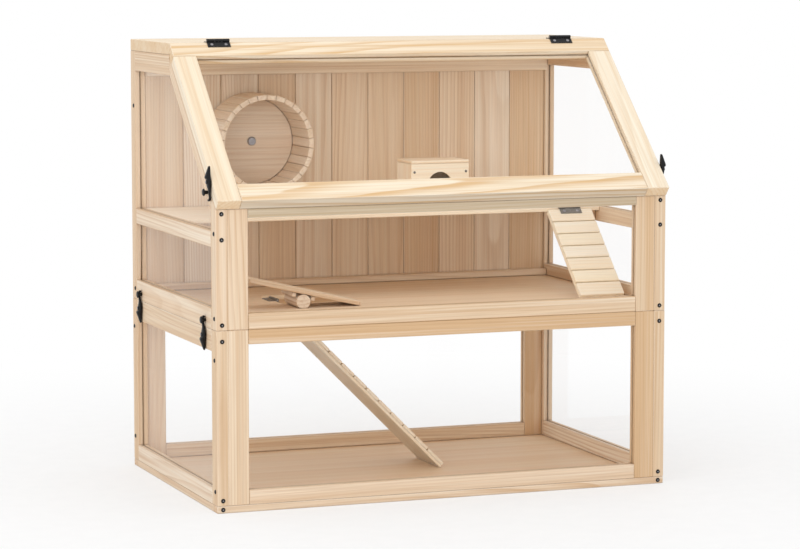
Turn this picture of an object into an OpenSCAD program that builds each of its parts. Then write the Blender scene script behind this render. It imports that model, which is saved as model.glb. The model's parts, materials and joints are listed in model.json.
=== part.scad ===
// Wooden hamster cage: two stacked boxes of framed clear panels, a hinged sloping lid,
// a shelf with a running wheel and a hut, two hinged ramps and a seesaw.
// Inside the modules x runs from the left side, y from the front face and z from the floor it stands on.

/* [Overall] */
// Width of the cage, left to right
cage_w = 600; // [540:1:760]
// Depth of the cage, front to back
cage_d = 375; // [350:1:460]
// Height to the top of the roof board
cage_h = 567; // [540:1:640]

/* [Frame stock] */
// Thickness of every framed panel
frame_t = 15; // [12:0.5:20]
// Width of the upright stiles at the ends of the side panels
side_stile_w = 20; // [16:0.5:26]
// Width of the upright stiles of the front and back panels
panel_stile_w = 26; // [20:0.5:34]

// Hairline between two pieces of one group at a glued joint
glue_gap = 0.1; // [0.05:0.05:0.3]

/* [Lower box] */
// Height of the strips under the lower box
base_h = 9; // [7:0.5:14]
// Height of the plane where the upper box stands on the lower box
part_z = 224.5; // [200:0.5:240]
// Height of the rails of the lower front and back panels
lower_rail_h = 18; // [14:0.5:26]
// Height of the top rails of the lower side panels
lower_side_top_h = 27; // [24:0.5:32]
// Height of the bottom rails of the lower side panels
lower_side_bottom_h = 20; // [14:0.5:26]

/* [Upper box] */
// Height of the bottom rails of the upper side panels
upper_side_bottom_h = 25.5; // [22:0.5:30]
// Distance of the top of the mid rails below the top of the front
mid_rail_drop = 27.5; // [24:0.5:45]
// Height of the mid rails of the upper side panels
mid_rail_h = 20; // [16:0.5:24]
// Height of the rails under the roof on the side panels
top_rail_h = 26; // [20:0.5:32]
// Width of the sloping rails under the lid
slope_rail_w = 15; // [14:0.5:20]
// Height of the bottom rail of the upper front panel
front_bottom_h = 19.5; // [18:0.5:26]
// Height of the top rail of the upper front panel
front_top_h = 11.5; // [9:0.5:16]

/* [Roof and lid] */
// Thickness of the roof board
roof_t = 15; // [12:0.5:20]
// Depth of the roof board, from the back
roof_d = 181; // [160:1:200]
// Thickness of the lid frame
lid_t = 15; // [12:0.5:18]
// How far the lid hangs out past the front face
lid_overhang = 11; // [8:0.5:16]
// Height from the lid's lower edge up to the roof's top
lid_drop = 184; // [174:1:190]
// Gap between the lid's upper end and the roof board
lid_gap = 1.5; // [1.4:0.1:2.5]
// Running gap between the lid and the rails that it closes on
lid_seat_play = 0.4; // [0.3:0.1:1]
// Width of the lid's stiles
lid_stile_w = 30; // [24:0.5:36]
// Width of the lid's top rail
lid_top_w = 24; // [20:0.5:30]
// Width of the lid's bottom rail
lid_bottom_w = 28; // [22:0.5:34]

/* [Panes] */
// Thickness of the clear panes
pane_t = 2; // [1.5:0.1:3]
// Depth of the grooves that hold the panes and the upper floor
groove_depth = 5; // [4:0.5:6]
// Play between a groove and what stands in it, each way
groove_play = 0.2; // [0.1:0.05:0.4]

/* [Back wall] */
// Number of upright boards in the back wall
board_count = 11; // [9:1:13]
// Thickness of the boards
board_t = 10; // [8:0.5:12]
// Gap between two boards
board_gap = 0.4; // [0.3:0.1:1]
// Thickness of the rails that the boards are nailed to
back_rail_t = 12; // [10:0.5:16]
// Height of the back wall's top rail
back_top_h = 33; // [24:0.5:40]
// Height of the back wall's bottom rail
back_bottom_h = 19.5; // [18:0.5:26]
// How far the boards stand behind the front edges of the back stiles
back_setback = 2; // [1:0.5:6]

/* [Floors and shelf] */
// Thickness of the floors
floor_t = 5; // [4:0.5:6]
// Height of the upper floor's underside above the parting plane
floor_lift = 5.5; // [5.5:0.5:7]
// Depth of the shelf
shelf_d = 187; // [180:1:200]
// Thickness of the shelf
shelf_t = 5; // [4:0.5:6]
// Width and height of the cleats under the shelf
cleat_w = 12; // [9:0.5:13]
// Distance from the shelf's front edge back to the side cleats
cleat_setback = 12; // [10:1:30]
// Left edge of the hatch in the upper floor
hatch_x = 137; // [110:1:160]
// Front edge of the hatch in the upper floor
hatch_y = 155; // [152:1:180]
// Length of the hatch
hatch_l = 90; // [80:1:110]
// Room beside the ramp in the hatch, each side
hatch_play = 4; // [3:0.5:8]

/* [Running wheel] */
// Which board of the back wall carries the wheel, from the left
wheel_board = 3; // [3:1:5]
// Distance of the wheel's axle from the right edge of that board
wheel_edge = 13.5; // [8:0.5:26]
// Outer radius of the wheel
wheel_r = 65; // [55:1:70]
// Room between the wheel and the shelf
wheel_clear = 20.5; // [10:0.5:30]
// Length of the wheel's drum
wheel_l = 74; // [60:1:80]
// Number of staves round the drum
stave_count = 30; // [24:1:36]
// Thickness of the staves
stave_t = 7; // [5:0.5:9]
// Gap between two staves
stave_gap = 0.2; // [0.15:0.05:0.5]
// Thickness of the wheel's back disc
disc_t = 6; // [5:0.5:9]
// Length of the spacer between the disc and the back wall
spacer_l = 4.8; // [4:0.1:8]
// Outer radius of the spacer
spacer_r = 7; // [6:0.5:9]
// End gap of the disc between the spacer and the bolt's head
wheel_end_play = 0.2; // [0.1:0.05:0.4]
// Radius of the axle bolt
axle_r = 3; // [2.5:0.1:4]
// Radius of the axle bolt's head
axle_head_r = 6; // [5:0.5:8]
// Radius of the axle bolt's head at its front
axle_crown_r = 4.8; // [4:0.1:5]
// Height of the axle bolt's head
axle_head_h = 3; // [2:0.5:5]

/* [Hut] */
// Left side of the hut
hut_x = 325; // [260:1:340]
// Distance from the shelf's front edge back to the hut
hut_setback = 20; // [10:1:60]
// Width of the hut
hut_w = 81; // [70:1:95]
// Depth of the hut
hut_d = 53; // [44:1:70]
// Height of the hut, with its roof
hut_h = 65; // [55:1:80]
// Thickness of the hut's walls
hut_wall = 5; // [4:0.5:7]
// Thickness of the hut's roof
hut_roof_t = 4; // [3:0.5:6]
// Radius of the arched doorway
door_r = 17; // [14:0.5:20]
// Height of the centre of the doorway's arch
door_h = 33; // [24:0.5:36]

/* [Ramps] */
// Width of the shelf ramp
shelf_ramp_w = 62; // [54:1:66]
// Width of the lower ramp
lower_ramp_w = 84; // [70:1:90]
// Slope of the lower ramp at rest, in degrees
ramp_slope = 45; // [40:1:48]
// How far the shelf ramp's foot stands in front of its hinge
shelf_ramp_run = 103; // [70:1:104]
// Right side of the shelf ramp from the cage's right side
shelf_ramp_inset = 29; // [29:1:60]
// First gap between the slats of the shelf ramp, from its hinge
shelf_slat_first = 24; // [18:0.5:30]
// Pitch of the slats on the shelf ramp
shelf_slat_pitch = 21; // [14:0.5:30]
// First gap between the slats of the lower ramp, from its hinge
lower_slat_first = 17.5; // [14:0.5:30]
// Pitch of the slats on the lower ramp
lower_slat_pitch = 24; // [16:0.5:32]
// Thickness of the slats
slat_t = 4; // [3:0.5:5]
// Gap between two slats
slat_gap = 1.6; // [0.8:0.1:2.5]
// Least length of the last slat down a ramp
slat_least = 10; // [6:0.5:14]
// Thickness of the base boards under the slats
ramp_base_t = 4; // [3:0.5:6]
// Room between a ramp's foot and the floor
foot_play = 0.3; // [0.2:0.1:1]

/* [Seesaw] */
// Length of the seesaw's board
seesaw_l = 150; // [130:1:160]
// Width of the seesaw's board
seesaw_w = 50; // [42:1:54]
// Thickness of the seesaw's board
seesaw_t = 6; // [5:0.5:8]
// Middle of the seesaw from the left side
seesaw_x = 145; // [140:1:160]
// Front edge of the seesaw's board
seesaw_y = 98; // [60:1:100]
// Radius of the seesaw's dowel
dowel_r = 9; // [7:0.5:10]
// Depth of the flat under the dowel
dowel_flat = 0.5; // [0.3:0.1:1]
// Side of the stops under the seesaw's board
stop_w = 6; // [4:0.5:7]
// Running gap round the dowel
dowel_play = 0.3; // [0.2:0.1:0.6]
// Room between the dowel and the stops beside it
stop_play = 0.8; // [0.5:0.1:2]
// Distance of the stops' ends from the board's edges
stop_inset = 4; // [2:0.5:10]

/* [Hinges] */
// Width of the hinges
hinge_w = 30; // [26:1:36]
// Depth of a hinge leaf
leaf_d = 11; // [9:0.5:13]
// Thickness of a hinge leaf
leaf_t = 1; // [0.8:0.1:1.2]
// Radius of a hinge's knuckles
knuckle_r = 2.2; // [2:0.1:2.3]
// Radius of a hinge pin
pin_r = 1; // [0.8:0.1:1.2]
// Radial running gap of the pins and bolts
bore_play = 0.08; // [0.05:0.01:0.1]
// Gap between a hinge's knuckles and the edge beside them
knuckle_play = 0.2; // [0.1:0.05:0.4]
// Gap between a hinge's knuckles and the first slat of a ramp
slat_play = 0.6; // [0.4:0.1:1.5]
// End gap between two knuckles
knuckle_gap = 0.4; // [0.3:0.1:0.8]
// Middle of the lid's hinges from the cage's sides
lid_hinge_inset = 64; // [50:1:120]

/* [Latches] */
// Distance of the side latches from the cage's front and back
latch_inset = 44; // [40:1:80]
// Distance from a latch's pivot to its keeper
latch_reach = 18; // [17:0.5:19]
// Height of the keepers above the parting plane
keeper_lift = 9; // [8:0.5:12]
// Radius of a latch's hub
hub_r = 5.2; // [4.8:0.1:6]
// Thickness of a latch's hook
hook_t = 5.5; // [4.5:0.5:6.5]
// Width of the hook's bow
bow_w = 2.6; // [2:0.1:3]
// Radius of a keeper's neck
neck_r = 2.6; // [2.2:0.1:3]
// Radius of a keeper's head
keeper_r = 5; // [4.5:0.1:6]
// Thickness of a keeper's head
keeper_head_t = 2.6; // [2:0.1:4]
// Length of a latch's tail
tail_l = 20; // [17:0.5:24]
// Thickness of a latch's tail at its thick end
tail_t = 8; // [7:0.5:10]
// Gap between a latch and what it turns beside
latch_play = 0.6; // [0.4:0.1:1]
// Room between a hook's bow and its keeper's neck
bow_play = 0.5; // [0.4:0.1:0.8]
// Radius of the tail's tip
tail_tip_r = 2.2; // [1.8:0.1:3]
// Thickness of the tail's tip
tail_tip_t = 3.6; // [3:0.1:5]
// Radius of the heads of the pivot screws
pivot_head_r = 3.6; // [3:0.1:4]
// Thickness of the heads of the pivot screws
pivot_head_t = 2; // [1.5:0.1:3]
// Distance of the lid latches' pivots from the lid's lower end
lid_latch_s = 36; // [32:1:46]
// Depth of the lid latches' pivots below the lid's outer face
lid_pivot_d = 4; // [3.8:0.1:5]
// Angle that the lid latches are turned off their keepers, in degrees
lid_latch_turn = 42; // [40:1:46]

/* [Screws] */
// Radius of the screws' shanks
screw_r = 1.5; // [1.2:0.1:2]
// Radius of the screws' heads
screw_head_r = 2.8; // [2.5:0.1:3.5]
// Height of the screws' heads
screw_head_h = 1; // [0.8:0.1:1.4]
// Radius of the screws' heads at the top
screw_crown_r = 2; // [1.6:0.1:2.4]
// Radius of the screws' drive recess
screw_drive_r = 1.1; // [0.8:0.1:1.4]
// Depth of the screws' drive recess
screw_drive_h = 0.6; // [0.4:0.1:0.7]
// Length of the long frame screws
screw_l = 30; // [24:1:34]
// Length of the short frame screws
short_screw_l = 12; // [10:1:14]
// Radius of the shanks that hold the latches and keepers
latch_screw_r = 1.9; // [1.6:0.1:2.1]
// Depth of the latch screws in the wood
latch_screw_l = 9; // [6:0.5:9.5]
// Distance of the front edge's top screws below the top of the front
top_screw_drop = 6; // [5:0.5:8]
// Height of the screws in the ends of the upper bottom rails above the parting plane
sill_screw_lift = 6.5; // [5:0.5:8]
// Height of the screws in the ends of the lower bottom rails above the base strips
foot_screw_lift = 6.5; // [4:0.5:10]
// Distance of the side faces' front screws below the top of the mid rails
mid_screw_drop = 3; // [2:0.5:5]
// Height of the side faces' screws above the parting plane
side_screw_lift = 14; // [12:0.5:17]
// Distance of the side faces' screws below the parting plane
side_screw_drop = 37; // [32:1:60]
// Height of the side faces' front bottom screws above the base strips
side_foot_lift = 17; // [12:0.5:30]
// Height of the side faces' back bottom screws above the base strips
back_foot_lift = 31; // [24:0.5:40]
// Distance of the side faces' top back screws below the top rails
back_screw_drop = 46; // [30:1:70]

/* [Hidden] */
$fn = 48;
// How far a cutter reaches past the faces that it cuts
over = 1;
pine = "#e6cba3";
pale_pine = "#efdcbb";
clear = [0.86, 0.93, 0.93, 0.3];
black = "#1d1d1f";
steel = "#55565a";

// The slope of the lid follows from the roof's front edge and the overhang
roof_y = cage_d - roof_d;
roof_z = cage_h - roof_t;
lid_end_y = roof_y - lid_gap;
lid_slope = atan2(lid_drop, lid_end_y + lid_overhang);
lid_l = norm([lid_end_y + lid_overhang, lid_drop]);
lid_rise = tan(lid_slope);

// Height of the lid's underside, and of the wood under it, at a distance from the front
function lid_under(y) = cage_h - lid_t / cos(lid_slope) - (lid_end_y - y) * lid_rise;
function seat(y) = lid_under(y) - lid_seat_play;

// Edges of the panels' openings
panel_x = frame_t + panel_stile_w;
side_back_y = cage_d - side_stile_w;
lower_sill_z = base_h + lower_rail_h;
lower_head_z = part_z - lower_rail_h;
lower_side_sill_z = base_h + lower_side_bottom_h;
lower_side_head_z = part_z - lower_side_top_h;
front_sill_z = part_z + front_bottom_h;
front_top_z = seat(0);
front_head_z = front_top_z - front_top_h;
upper_side_sill_z = part_z + upper_side_bottom_h;
mid_top_z = front_top_z - mid_rail_drop;
mid_z = mid_top_z - mid_rail_h;
top_rail_z = roof_z - top_rail_h;
slope_rail_v = slope_rail_w / cos(lid_slope);
slope_end_y = lid_end_y + (top_rail_z + slope_rail_v - seat(lid_end_y)) / lid_rise;
function slope_foot(y) = seat(y) - slope_rail_v;

// Grooves and what stands in them
groove_w = pane_t + 2 * groove_play;
pane_grip = groove_depth - groove_play;

// Back wall, floors and shelf
back_y = side_back_y + back_setback;
board_w = (cage_w - 2 * frame_t) / board_count;
floor_z = part_z + floor_lift;
floor_top = floor_z + floor_t;
lower_floor_z = base_h - floor_t;
rebate = frame_t - groove_depth;
shelf_top = mid_top_z;
shelf_y = back_y - shelf_d;
cleat_z = shelf_top - shelf_t - cleat_w;

// Running wheel
wheel_x = frame_t + wheel_board * board_w - wheel_edge;
wheel_z = shelf_top + wheel_clear + wheel_r;
wheel_back_y = back_y - spacer_l - wheel_end_play;
drum_r = wheel_r - stave_t;
stave_angle = 360 / stave_count;

// Hut
hut_y = shelf_y + hut_setback;
hut_eave_z = shelf_top + hut_h - hut_roof_t;

// Ramps and seesaw: s runs down the slope, n is square to it
hinge_off = knuckle_r + knuckle_play;
ramp_n = leaf_t + slat_t + ramp_base_t;
ramp_start = hinge_off + slat_play;
shelf_axis = [cage_w - shelf_ramp_inset - shelf_ramp_w / 2, shelf_y - hinge_off, shelf_top + leaf_t];
hatch_axis = [hatch_x + hinge_off, hatch_y + hatch_play + lower_ramp_w / 2, floor_top + leaf_t];
shelf_ramp_rise = shelf_axis.z - floor_top - foot_play;
shelf_ramp_l = sqrt(pow(shelf_ramp_run, 2) + pow(shelf_ramp_rise, 2) - pow(ramp_n, 2));
shelf_ramp_slope = atan2(shelf_ramp_rise, shelf_ramp_run) - atan2(ramp_n, shelf_ramp_l);
lower_ramp_rise = hatch_axis.z - base_h - foot_play;
lower_ramp_l = (lower_ramp_rise - ramp_n * cos(ramp_slope)) / sin(ramp_slope);
dowel_z = floor_top + dowel_r - dowel_flat;
seesaw_n = dowel_r + dowel_play;
seesaw_tilt = atan2(seesaw_n, seesaw_l / 2)
    + asin((dowel_r - dowel_flat - foot_play) / norm([seesaw_n, seesaw_l / 2]));

// Lid hinges: the pin lies just above the roof's front edge
lid_axis_y = lid_end_y + lid_gap / 2;
lid_axis_z = cage_h + knuckle_r + knuckle_play / 2;
lid_hinge_xs = [lid_hinge_inset, cage_w - lid_hinge_inset];
barrel_l = (hinge_w - 2 * knuckle_gap) / 3;
lid_leaf_drop = (lid_axis_z - cage_h) * cos(lid_slope) - (lid_axis_y - lid_end_y) * sin(lid_slope);

// Latches
latch_ys = [latch_inset, cage_d - latch_inset];
keeper_z = part_z + keeper_lift;
pivot_z = keeper_z - latch_reach;
bow_r = neck_r + bow_play;
hook_back = latch_play + hook_t;
tail_r = hub_r - latch_play;
tail_top = pivot_head_r + tail_r + latch_play;
lid_pivot_s = lid_l - lid_latch_s;
lid_pivot_y = lid_end_y - lid_pivot_s * cos(lid_slope) + lid_pivot_d * sin(lid_slope);
lid_pivot_z = cage_h - lid_pivot_s * sin(lid_slope) - lid_pivot_d * cos(lid_slope);
lid_keeper_y = lid_pivot_y + latch_reach * sin(lid_slope);
lid_keeper_z = lid_pivot_z - latch_reach * cos(lid_slope);

// Frame screws: heights on the front edge of the side panels, then heights on the side faces
front_screws = [front_top_z - top_screw_drop, mid_z + mid_rail_h / 2, part_z + sill_screw_lift,
    part_z - lower_side_top_h / 2, base_h + foot_screw_lift, base_h / 2];
side_front_screws = [mid_top_z - mid_screw_drop, part_z + side_screw_lift, part_z - side_screw_drop,
    base_h + side_foot_lift];
side_back_upper_screws = [top_rail_z - back_screw_drop, part_z + side_screw_lift];
side_back_lower_screws = [part_z - side_screw_drop, base_h + back_foot_lift];

// Placing
module at_cage() {
    translate([-cage_w / 2, -(cage_d - lid_overhang) / 2, 0]) children();
}

module both_sides() {
    children();
    translate([cage_w, 0, 0]) mirror([1, 0, 0]) children();
}

module front_and_back() {
    children();
    translate([0, cage_d, 0]) mirror([0, 1, 0]) children();
}

// Local y runs down the lid and local z runs into it, from the outer face
module on_lid() {
    translate([0, lid_end_y, cage_h]) rotate([180 + lid_slope, 0, 0]) children();
}

// Local x runs down the ramp and local z stands square on it
module on_shelf_ramp() {
    translate(shelf_axis) rotate([0, 0, -90]) rotate([0, shelf_ramp_slope, 0]) children();
}

module on_lower_ramp() {
    translate(hatch_axis) rotate([0, ramp_slope, 0]) children();
}

module on_seesaw() {
    translate([seesaw_x, seesaw_y, dowel_z]) rotate([0, seesaw_tilt, 0]) children();
}

// Stock
module block(low, high) {
    translate(low) cube(high - low);
}

// An outline in y and z, made t thick along x
module plate(outline, t, x = 0) {
    translate([x, 0, 0]) rotate([90, 0, 90]) linear_extrude(t) polygon(outline);
}

// A rod along x, from x0 to x1
module rod(r, x0, x1) {
    translate([x0, 0, 0]) rotate([0, 90, 0]) cylinder(h = x1 - x0, r = r);
}

// Outlines of the panes and their grooves, e past the edges of the openings and t thick
module lower_side_pane_shape(e, t) {
    block([(frame_t - t) / 2, side_stile_w - e, lower_side_sill_z - e],
        [(frame_t + t) / 2, side_back_y + e, lower_side_head_z + e]);
}

module lower_panel_pane_shape(e, t) {
    block([panel_x - e, (frame_t - t) / 2, lower_sill_z - e],
        [cage_w - panel_x + e, (frame_t + t) / 2, lower_head_z + e]);
}

module upper_low_pane_shape(e, t) {
    block([(frame_t - t) / 2, side_stile_w - e, upper_side_sill_z - e],
        [(frame_t + t) / 2, side_back_y + e, mid_z + e]);
}

module upper_front_pane_shape(e, t) {
    block([panel_x - e, (frame_t - t) / 2, front_sill_z - e],
        [cage_w - panel_x + e, (frame_t + t) / 2, front_head_z + e]);
}

module gable_pane_shape(e, t) {
    up = e / cos(lid_slope);
    plate([[side_stile_w - e, mid_top_z - e], [side_back_y + e, mid_top_z - e],
        [side_back_y + e, top_rail_z + e], [slope_end_y + (e - up) / lid_rise, top_rail_z + e],
        [side_stile_w - e, slope_foot(side_stile_w - e) + up]], t, (frame_t - t) / 2);
}

module lid_pane_shape(e, t) {
    block([lid_stile_w - e, lid_top_w - e, (lid_t - t) / 2],
        [cage_w - lid_stile_w + e, lid_l - lid_bottom_w + e, (lid_t + t) / 2]);
}

module upper_floor_shape(e, play) {
    block([frame_t - e, frame_t - e, floor_z - play],
        [cage_w - frame_t + e, back_y - back_rail_t + e, floor_top + play]);
}

module side_grooves() {
    lower_side_pane_shape(groove_depth, groove_w);
    upper_low_pane_shape(groove_depth, groove_w);
    gable_pane_shape(groove_depth, groove_w);
}

// Screws: the head stands on z = 0 and the shank goes up into the wood
module screw(l, r = screw_r) {
    cylinder(h = l, r = r);
    difference() {
        translate([0, 0, -screw_head_h]) cylinder(h = screw_head_h, r1 = screw_crown_r, r2 = screw_head_r);
        translate([0, 0, -screw_head_h - over])
            cylinder(h = screw_drive_h + over, r = screw_drive_r, $fn = 6);
    }
}

module drill(l, r = screw_r) {
    translate([0, 0, -over]) cylinder(h = l + over, r = r + bore_play);
}

module front_screw_holes() {
    for (i = [0:len(front_screws) - 1])
        translate([frame_t / 2, 0, front_screws[i]]) rotate([-90, 0, 0])
            drill(i == 0 ? short_screw_l : screw_l);
}

module side_screw_places() {
    for (z = side_front_screws) translate([0, frame_t / 2, z]) rotate([0, 90, 0]) children();
    for (z = side_back_upper_screws) translate([0, back_y + board_t / 2, z]) rotate([0, 90, 0]) children();
    for (z = side_back_lower_screws) translate([0, cage_d - frame_t / 2, z]) rotate([0, 90, 0]) children();
}

module side_screw_holes() {
    side_screw_places() drill(screw_l);
}

module keeper_holes() {
    for (y = latch_ys) translate([0, y, keeper_z]) rotate([0, 90, 0]) drill(latch_screw_l, latch_screw_r);
    translate([0, lid_keeper_y, lid_keeper_z]) rotate([0, 90, 0]) drill(latch_screw_l, latch_screw_r);
}

module pivot_holes() {
    for (y = latch_ys) translate([0, y, pivot_z]) rotate([0, 90, 0]) drill(latch_screw_l, latch_screw_r);
}

// Lower box
module base_strips() color(pine) at_cage() difference() {
    union() {
        front_and_back() block([0, 0, 0], [cage_w, frame_t, base_h]);
        both_sides() block([0, frame_t + glue_gap, 0], [frame_t, cage_d - frame_t - glue_gap, base_h]);
    }
    block([rebate, rebate, lower_floor_z], [cage_w - rebate, cage_d - rebate, base_h + over]);
    both_sides() front_screw_holes();
}

module lower_floor() color(pale_pine) at_cage()
    block([rebate + groove_play, rebate + groove_play, lower_floor_z],
        [cage_w - rebate - groove_play, cage_d - rebate - groove_play, base_h]);

module lower_side_stiles() color(pine) at_cage() both_sides() difference() {
    front_and_back() block([0, 0, base_h], [frame_t, side_stile_w, part_z]);
    side_grooves();
    front_screw_holes();
    side_screw_holes();
}

module lower_side_top_rails() color(pine) at_cage() both_sides() difference() {
    block([0, side_stile_w, lower_side_head_z], [frame_t, side_back_y, part_z]);
    side_grooves();
    front_screw_holes();
    pivot_holes();
}

module lower_side_bottom_rails() color(pine) at_cage() both_sides() difference() {
    block([0, side_stile_w, base_h], [frame_t, side_back_y, lower_side_sill_z]);
    side_grooves();
    front_screw_holes();
}

module lower_panel_stiles() color(pine) at_cage() difference() {
    both_sides() front_and_back() block([frame_t, 0, base_h], [panel_x, frame_t, part_z]);
    front_and_back() lower_panel_pane_shape(groove_depth, groove_w);
    both_sides() side_screw_holes();
}

module lower_panel_rails() color(pine) at_cage() front_and_back() difference() {
    for (z = [base_h, lower_head_z])
        block([panel_x, 0, z], [cage_w - panel_x, frame_t, z + lower_rail_h]);
    lower_panel_pane_shape(groove_depth, groove_w);
}

module lower_side_panes() color(clear) at_cage() both_sides() lower_side_pane_shape(pane_grip, pane_t);

module lower_panel_panes() color(clear) at_cage() front_and_back() lower_panel_pane_shape(pane_grip, pane_t);

// Upper box
module upper_side_front_stiles() color(pine) at_cage() difference() {
    both_sides() difference() {
        plate([[0, part_z], [side_stile_w, part_z], [side_stile_w, seat(side_stile_w)], [0, front_top_z]],
            frame_t);
        side_grooves();
        front_screw_holes();
        side_screw_holes();
    }
    upper_floor_shape(groove_depth, groove_play);
}

module upper_side_back_stiles() color(pine) at_cage() both_sides() difference() {
    block([0, side_back_y, part_z], [frame_t, cage_d, roof_z]);
    side_grooves();
    side_screw_holes();
}

module upper_side_top_rails() color(pine) at_cage() both_sides() difference() {
    plate([[slope_end_y, top_rail_z], [side_back_y, top_rail_z], [side_back_y, roof_z], [roof_y, roof_z],
        [roof_y, seat(roof_y)], [slope_end_y, seat(slope_end_y)]], frame_t);
    side_grooves();
}

module upper_side_slope_rails() color(pine) at_cage() both_sides() difference() {
    plate([[side_stile_w, slope_foot(side_stile_w)], [slope_end_y, slope_foot(slope_end_y)],
        [slope_end_y, seat(slope_end_y)], [side_stile_w, seat(side_stile_w)]], frame_t);
    side_grooves();
    keeper_holes();
}

module upper_side_mid_rails() color(pine) at_cage() both_sides() difference() {
    block([0, side_stile_w, mid_z], [frame_t, side_back_y, mid_top_z]);
    side_grooves();
    front_screw_holes();
}

module upper_side_bottom_rails() color(pine) at_cage() difference() {
    both_sides() difference() {
        block([0, side_stile_w, part_z], [frame_t, side_back_y, upper_side_sill_z]);
        side_grooves();
        front_screw_holes();
        keeper_holes();
    }
    upper_floor_shape(groove_depth, groove_play);
}

module gable_panes() color(clear) at_cage() both_sides() gable_pane_shape(pane_grip, pane_t);

module upper_side_low_panes() color(clear) at_cage() both_sides() upper_low_pane_shape(pane_grip, pane_t);

module upper_front_stiles() color(pine) at_cage() difference() {
    both_sides() difference() {
        block([frame_t, 0, part_z], [panel_x, frame_t, front_top_z]);
        side_screw_holes();
    }
    upper_front_pane_shape(groove_depth, groove_w);
    upper_floor_shape(groove_depth, groove_play);
}

module upper_front_top_rail() color(pine) at_cage() difference() {
    block([panel_x, 0, front_head_z], [cage_w - panel_x, frame_t, front_top_z]);
    upper_front_pane_shape(groove_depth, groove_w);
}

module upper_front_bottom_rail() color(pine) at_cage() difference() {
    block([panel_x, 0, part_z], [cage_w - panel_x, frame_t, front_sill_z]);
    upper_front_pane_shape(groove_depth, groove_w);
    upper_floor_shape(groove_depth, groove_play);
}

module upper_front_pane() color(clear) at_cage() upper_front_pane_shape(pane_grip, pane_t);

module back_boards() color(pale_pine) at_cage() difference() {
    for (i = [0:board_count - 1])
        translate([frame_t + i * board_w, 0, 0])
            block([i == 0 ? 0 : board_gap / 2, back_y, part_z],
                [board_w - (i == board_count - 1 ? 0 : board_gap / 2), back_y + board_t, roof_z]);
    both_sides() side_screw_holes();
    translate([wheel_x, 0, wheel_z]) rotate([-90, 0, 0]) cylinder(h = cage_d, r = axle_r + bore_play);
}

module back_rails() color(pine) at_cage() difference() {
    for (span = [[part_z, part_z + back_bottom_h], [roof_z - back_top_h, roof_z]])
        block([frame_t, back_y - back_rail_t, span[0]], [cage_w - frame_t, back_y, span[1]]);
    upper_floor_shape(groove_depth, groove_play);
}

module upper_floor() color(pale_pine) at_cage() difference() {
    upper_floor_shape(pane_grip, 0);
    block([hatch_x, hatch_y, floor_z - over],
        [hatch_x + hatch_l, hatch_y + lower_ramp_w + 2 * hatch_play, floor_top + over]);
}

module shelf() color(pale_pine) at_cage()
    block([frame_t, shelf_y, shelf_top - shelf_t], [cage_w - frame_t, back_y, shelf_top]);

module shelf_cleats() color(pine) at_cage() {
    both_sides() block([frame_t, shelf_y + cleat_setback, cleat_z],
        [frame_t + cleat_w, back_y - cleat_w - glue_gap, cleat_z + cleat_w]);
    block([frame_t, back_y - cleat_w, cleat_z], [cage_w - frame_t, back_y, cleat_z + cleat_w]);
}

module roof_board() color(pale_pine) at_cage() block([0, roof_y, roof_z], [cage_w, cage_d, cage_h]);

// Hinges. The axis lies along x, the plate's underside is drop below it and the plate goes to +y.
// The fixed leaf has the two outer knuckles and the moving leaf has the middle one.
module leaf(drop, fixed) {
    step = barrel_l + knuckle_gap;
    difference() {
        union() {
            for (i = fixed ? [-1, 1] : [0]) {
                translate([i * step, 0, 0]) rod(knuckle_r, -barrel_l / 2, barrel_l / 2);
                translate([i * step, 0, 0])
                    block([-barrel_l / 2, 0, -drop], [barrel_l / 2, leaf_d, leaf_t - drop]);
            }
            block([-hinge_w / 2, hinge_off, -drop], [hinge_w / 2, leaf_d, leaf_t - drop]);
        }
        rod(pin_r + bore_play, -hinge_w, hinge_w);
    }
}

module roof_hinge_leaves() color(black) at_cage()
    for (x = lid_hinge_xs) translate([x, lid_axis_y, lid_axis_z]) leaf(lid_axis_z - cage_h, true);

module lid_hinge_leaves() color(black) at_cage()
    for (x = lid_hinge_xs)
        translate([x, lid_axis_y, lid_axis_z]) rotate([lid_slope, 0, 0]) rotate([0, 0, 180])
            leaf(lid_leaf_drop, false);

module ramp_fixed_leaves() color(steel) at_cage() {
    translate(shelf_axis) leaf(leaf_t, true);
    translate(hatch_axis) rotate([0, 0, 90]) leaf(leaf_t, true);
}

module hinge_pins() color(steel) at_cage() {
    for (x = lid_hinge_xs) translate([x, lid_axis_y, lid_axis_z]) rod(pin_r, -hinge_w / 2, hinge_w / 2);
    translate(shelf_axis) rod(pin_r, -hinge_w / 2, hinge_w / 2);
    translate(hatch_axis) rotate([0, 0, 90]) rod(pin_r, -hinge_w / 2, hinge_w / 2);
}

// Running wheel: local z runs along the axle, from the wall to the front
module on_axle(y) {
    translate([wheel_x, y, wheel_z]) rotate([90, 0, 0]) children();
}

module wheel_staves() color(pale_pine) at_cage() on_axle(wheel_back_y) {
    half = stave_angle / 2 - asin(stave_gap / 2 / drum_r);
    for (i = [0:stave_count - 1])
        rotate([0, 0, i * stave_angle]) linear_extrude(wheel_l)
            polygon([for (p = [[drum_r, -half], [wheel_r, -half], [wheel_r, half], [drum_r, half]])
                p[0] * [cos(p[1]), sin(p[1])]]);
}

module wheel_disc() color(pale_pine) at_cage() on_axle(wheel_back_y) difference() {
    cylinder(h = disc_t, r = drum_r * cos(stave_angle / 2) - groove_play);
    translate([0, 0, -over]) cylinder(h = disc_t + 2 * over, r = axle_r + bore_play);
}

module wheel_bolt() color(steel) at_cage() on_axle(back_y + board_t) {
    shank_l = board_t + spacer_l + disc_t + 2 * wheel_end_play;
    cylinder(h = shank_l, r = axle_r);
    translate([0, 0, shank_l]) cylinder(h = axle_head_h, r1 = axle_head_r, r2 = axle_crown_r);
}

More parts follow.
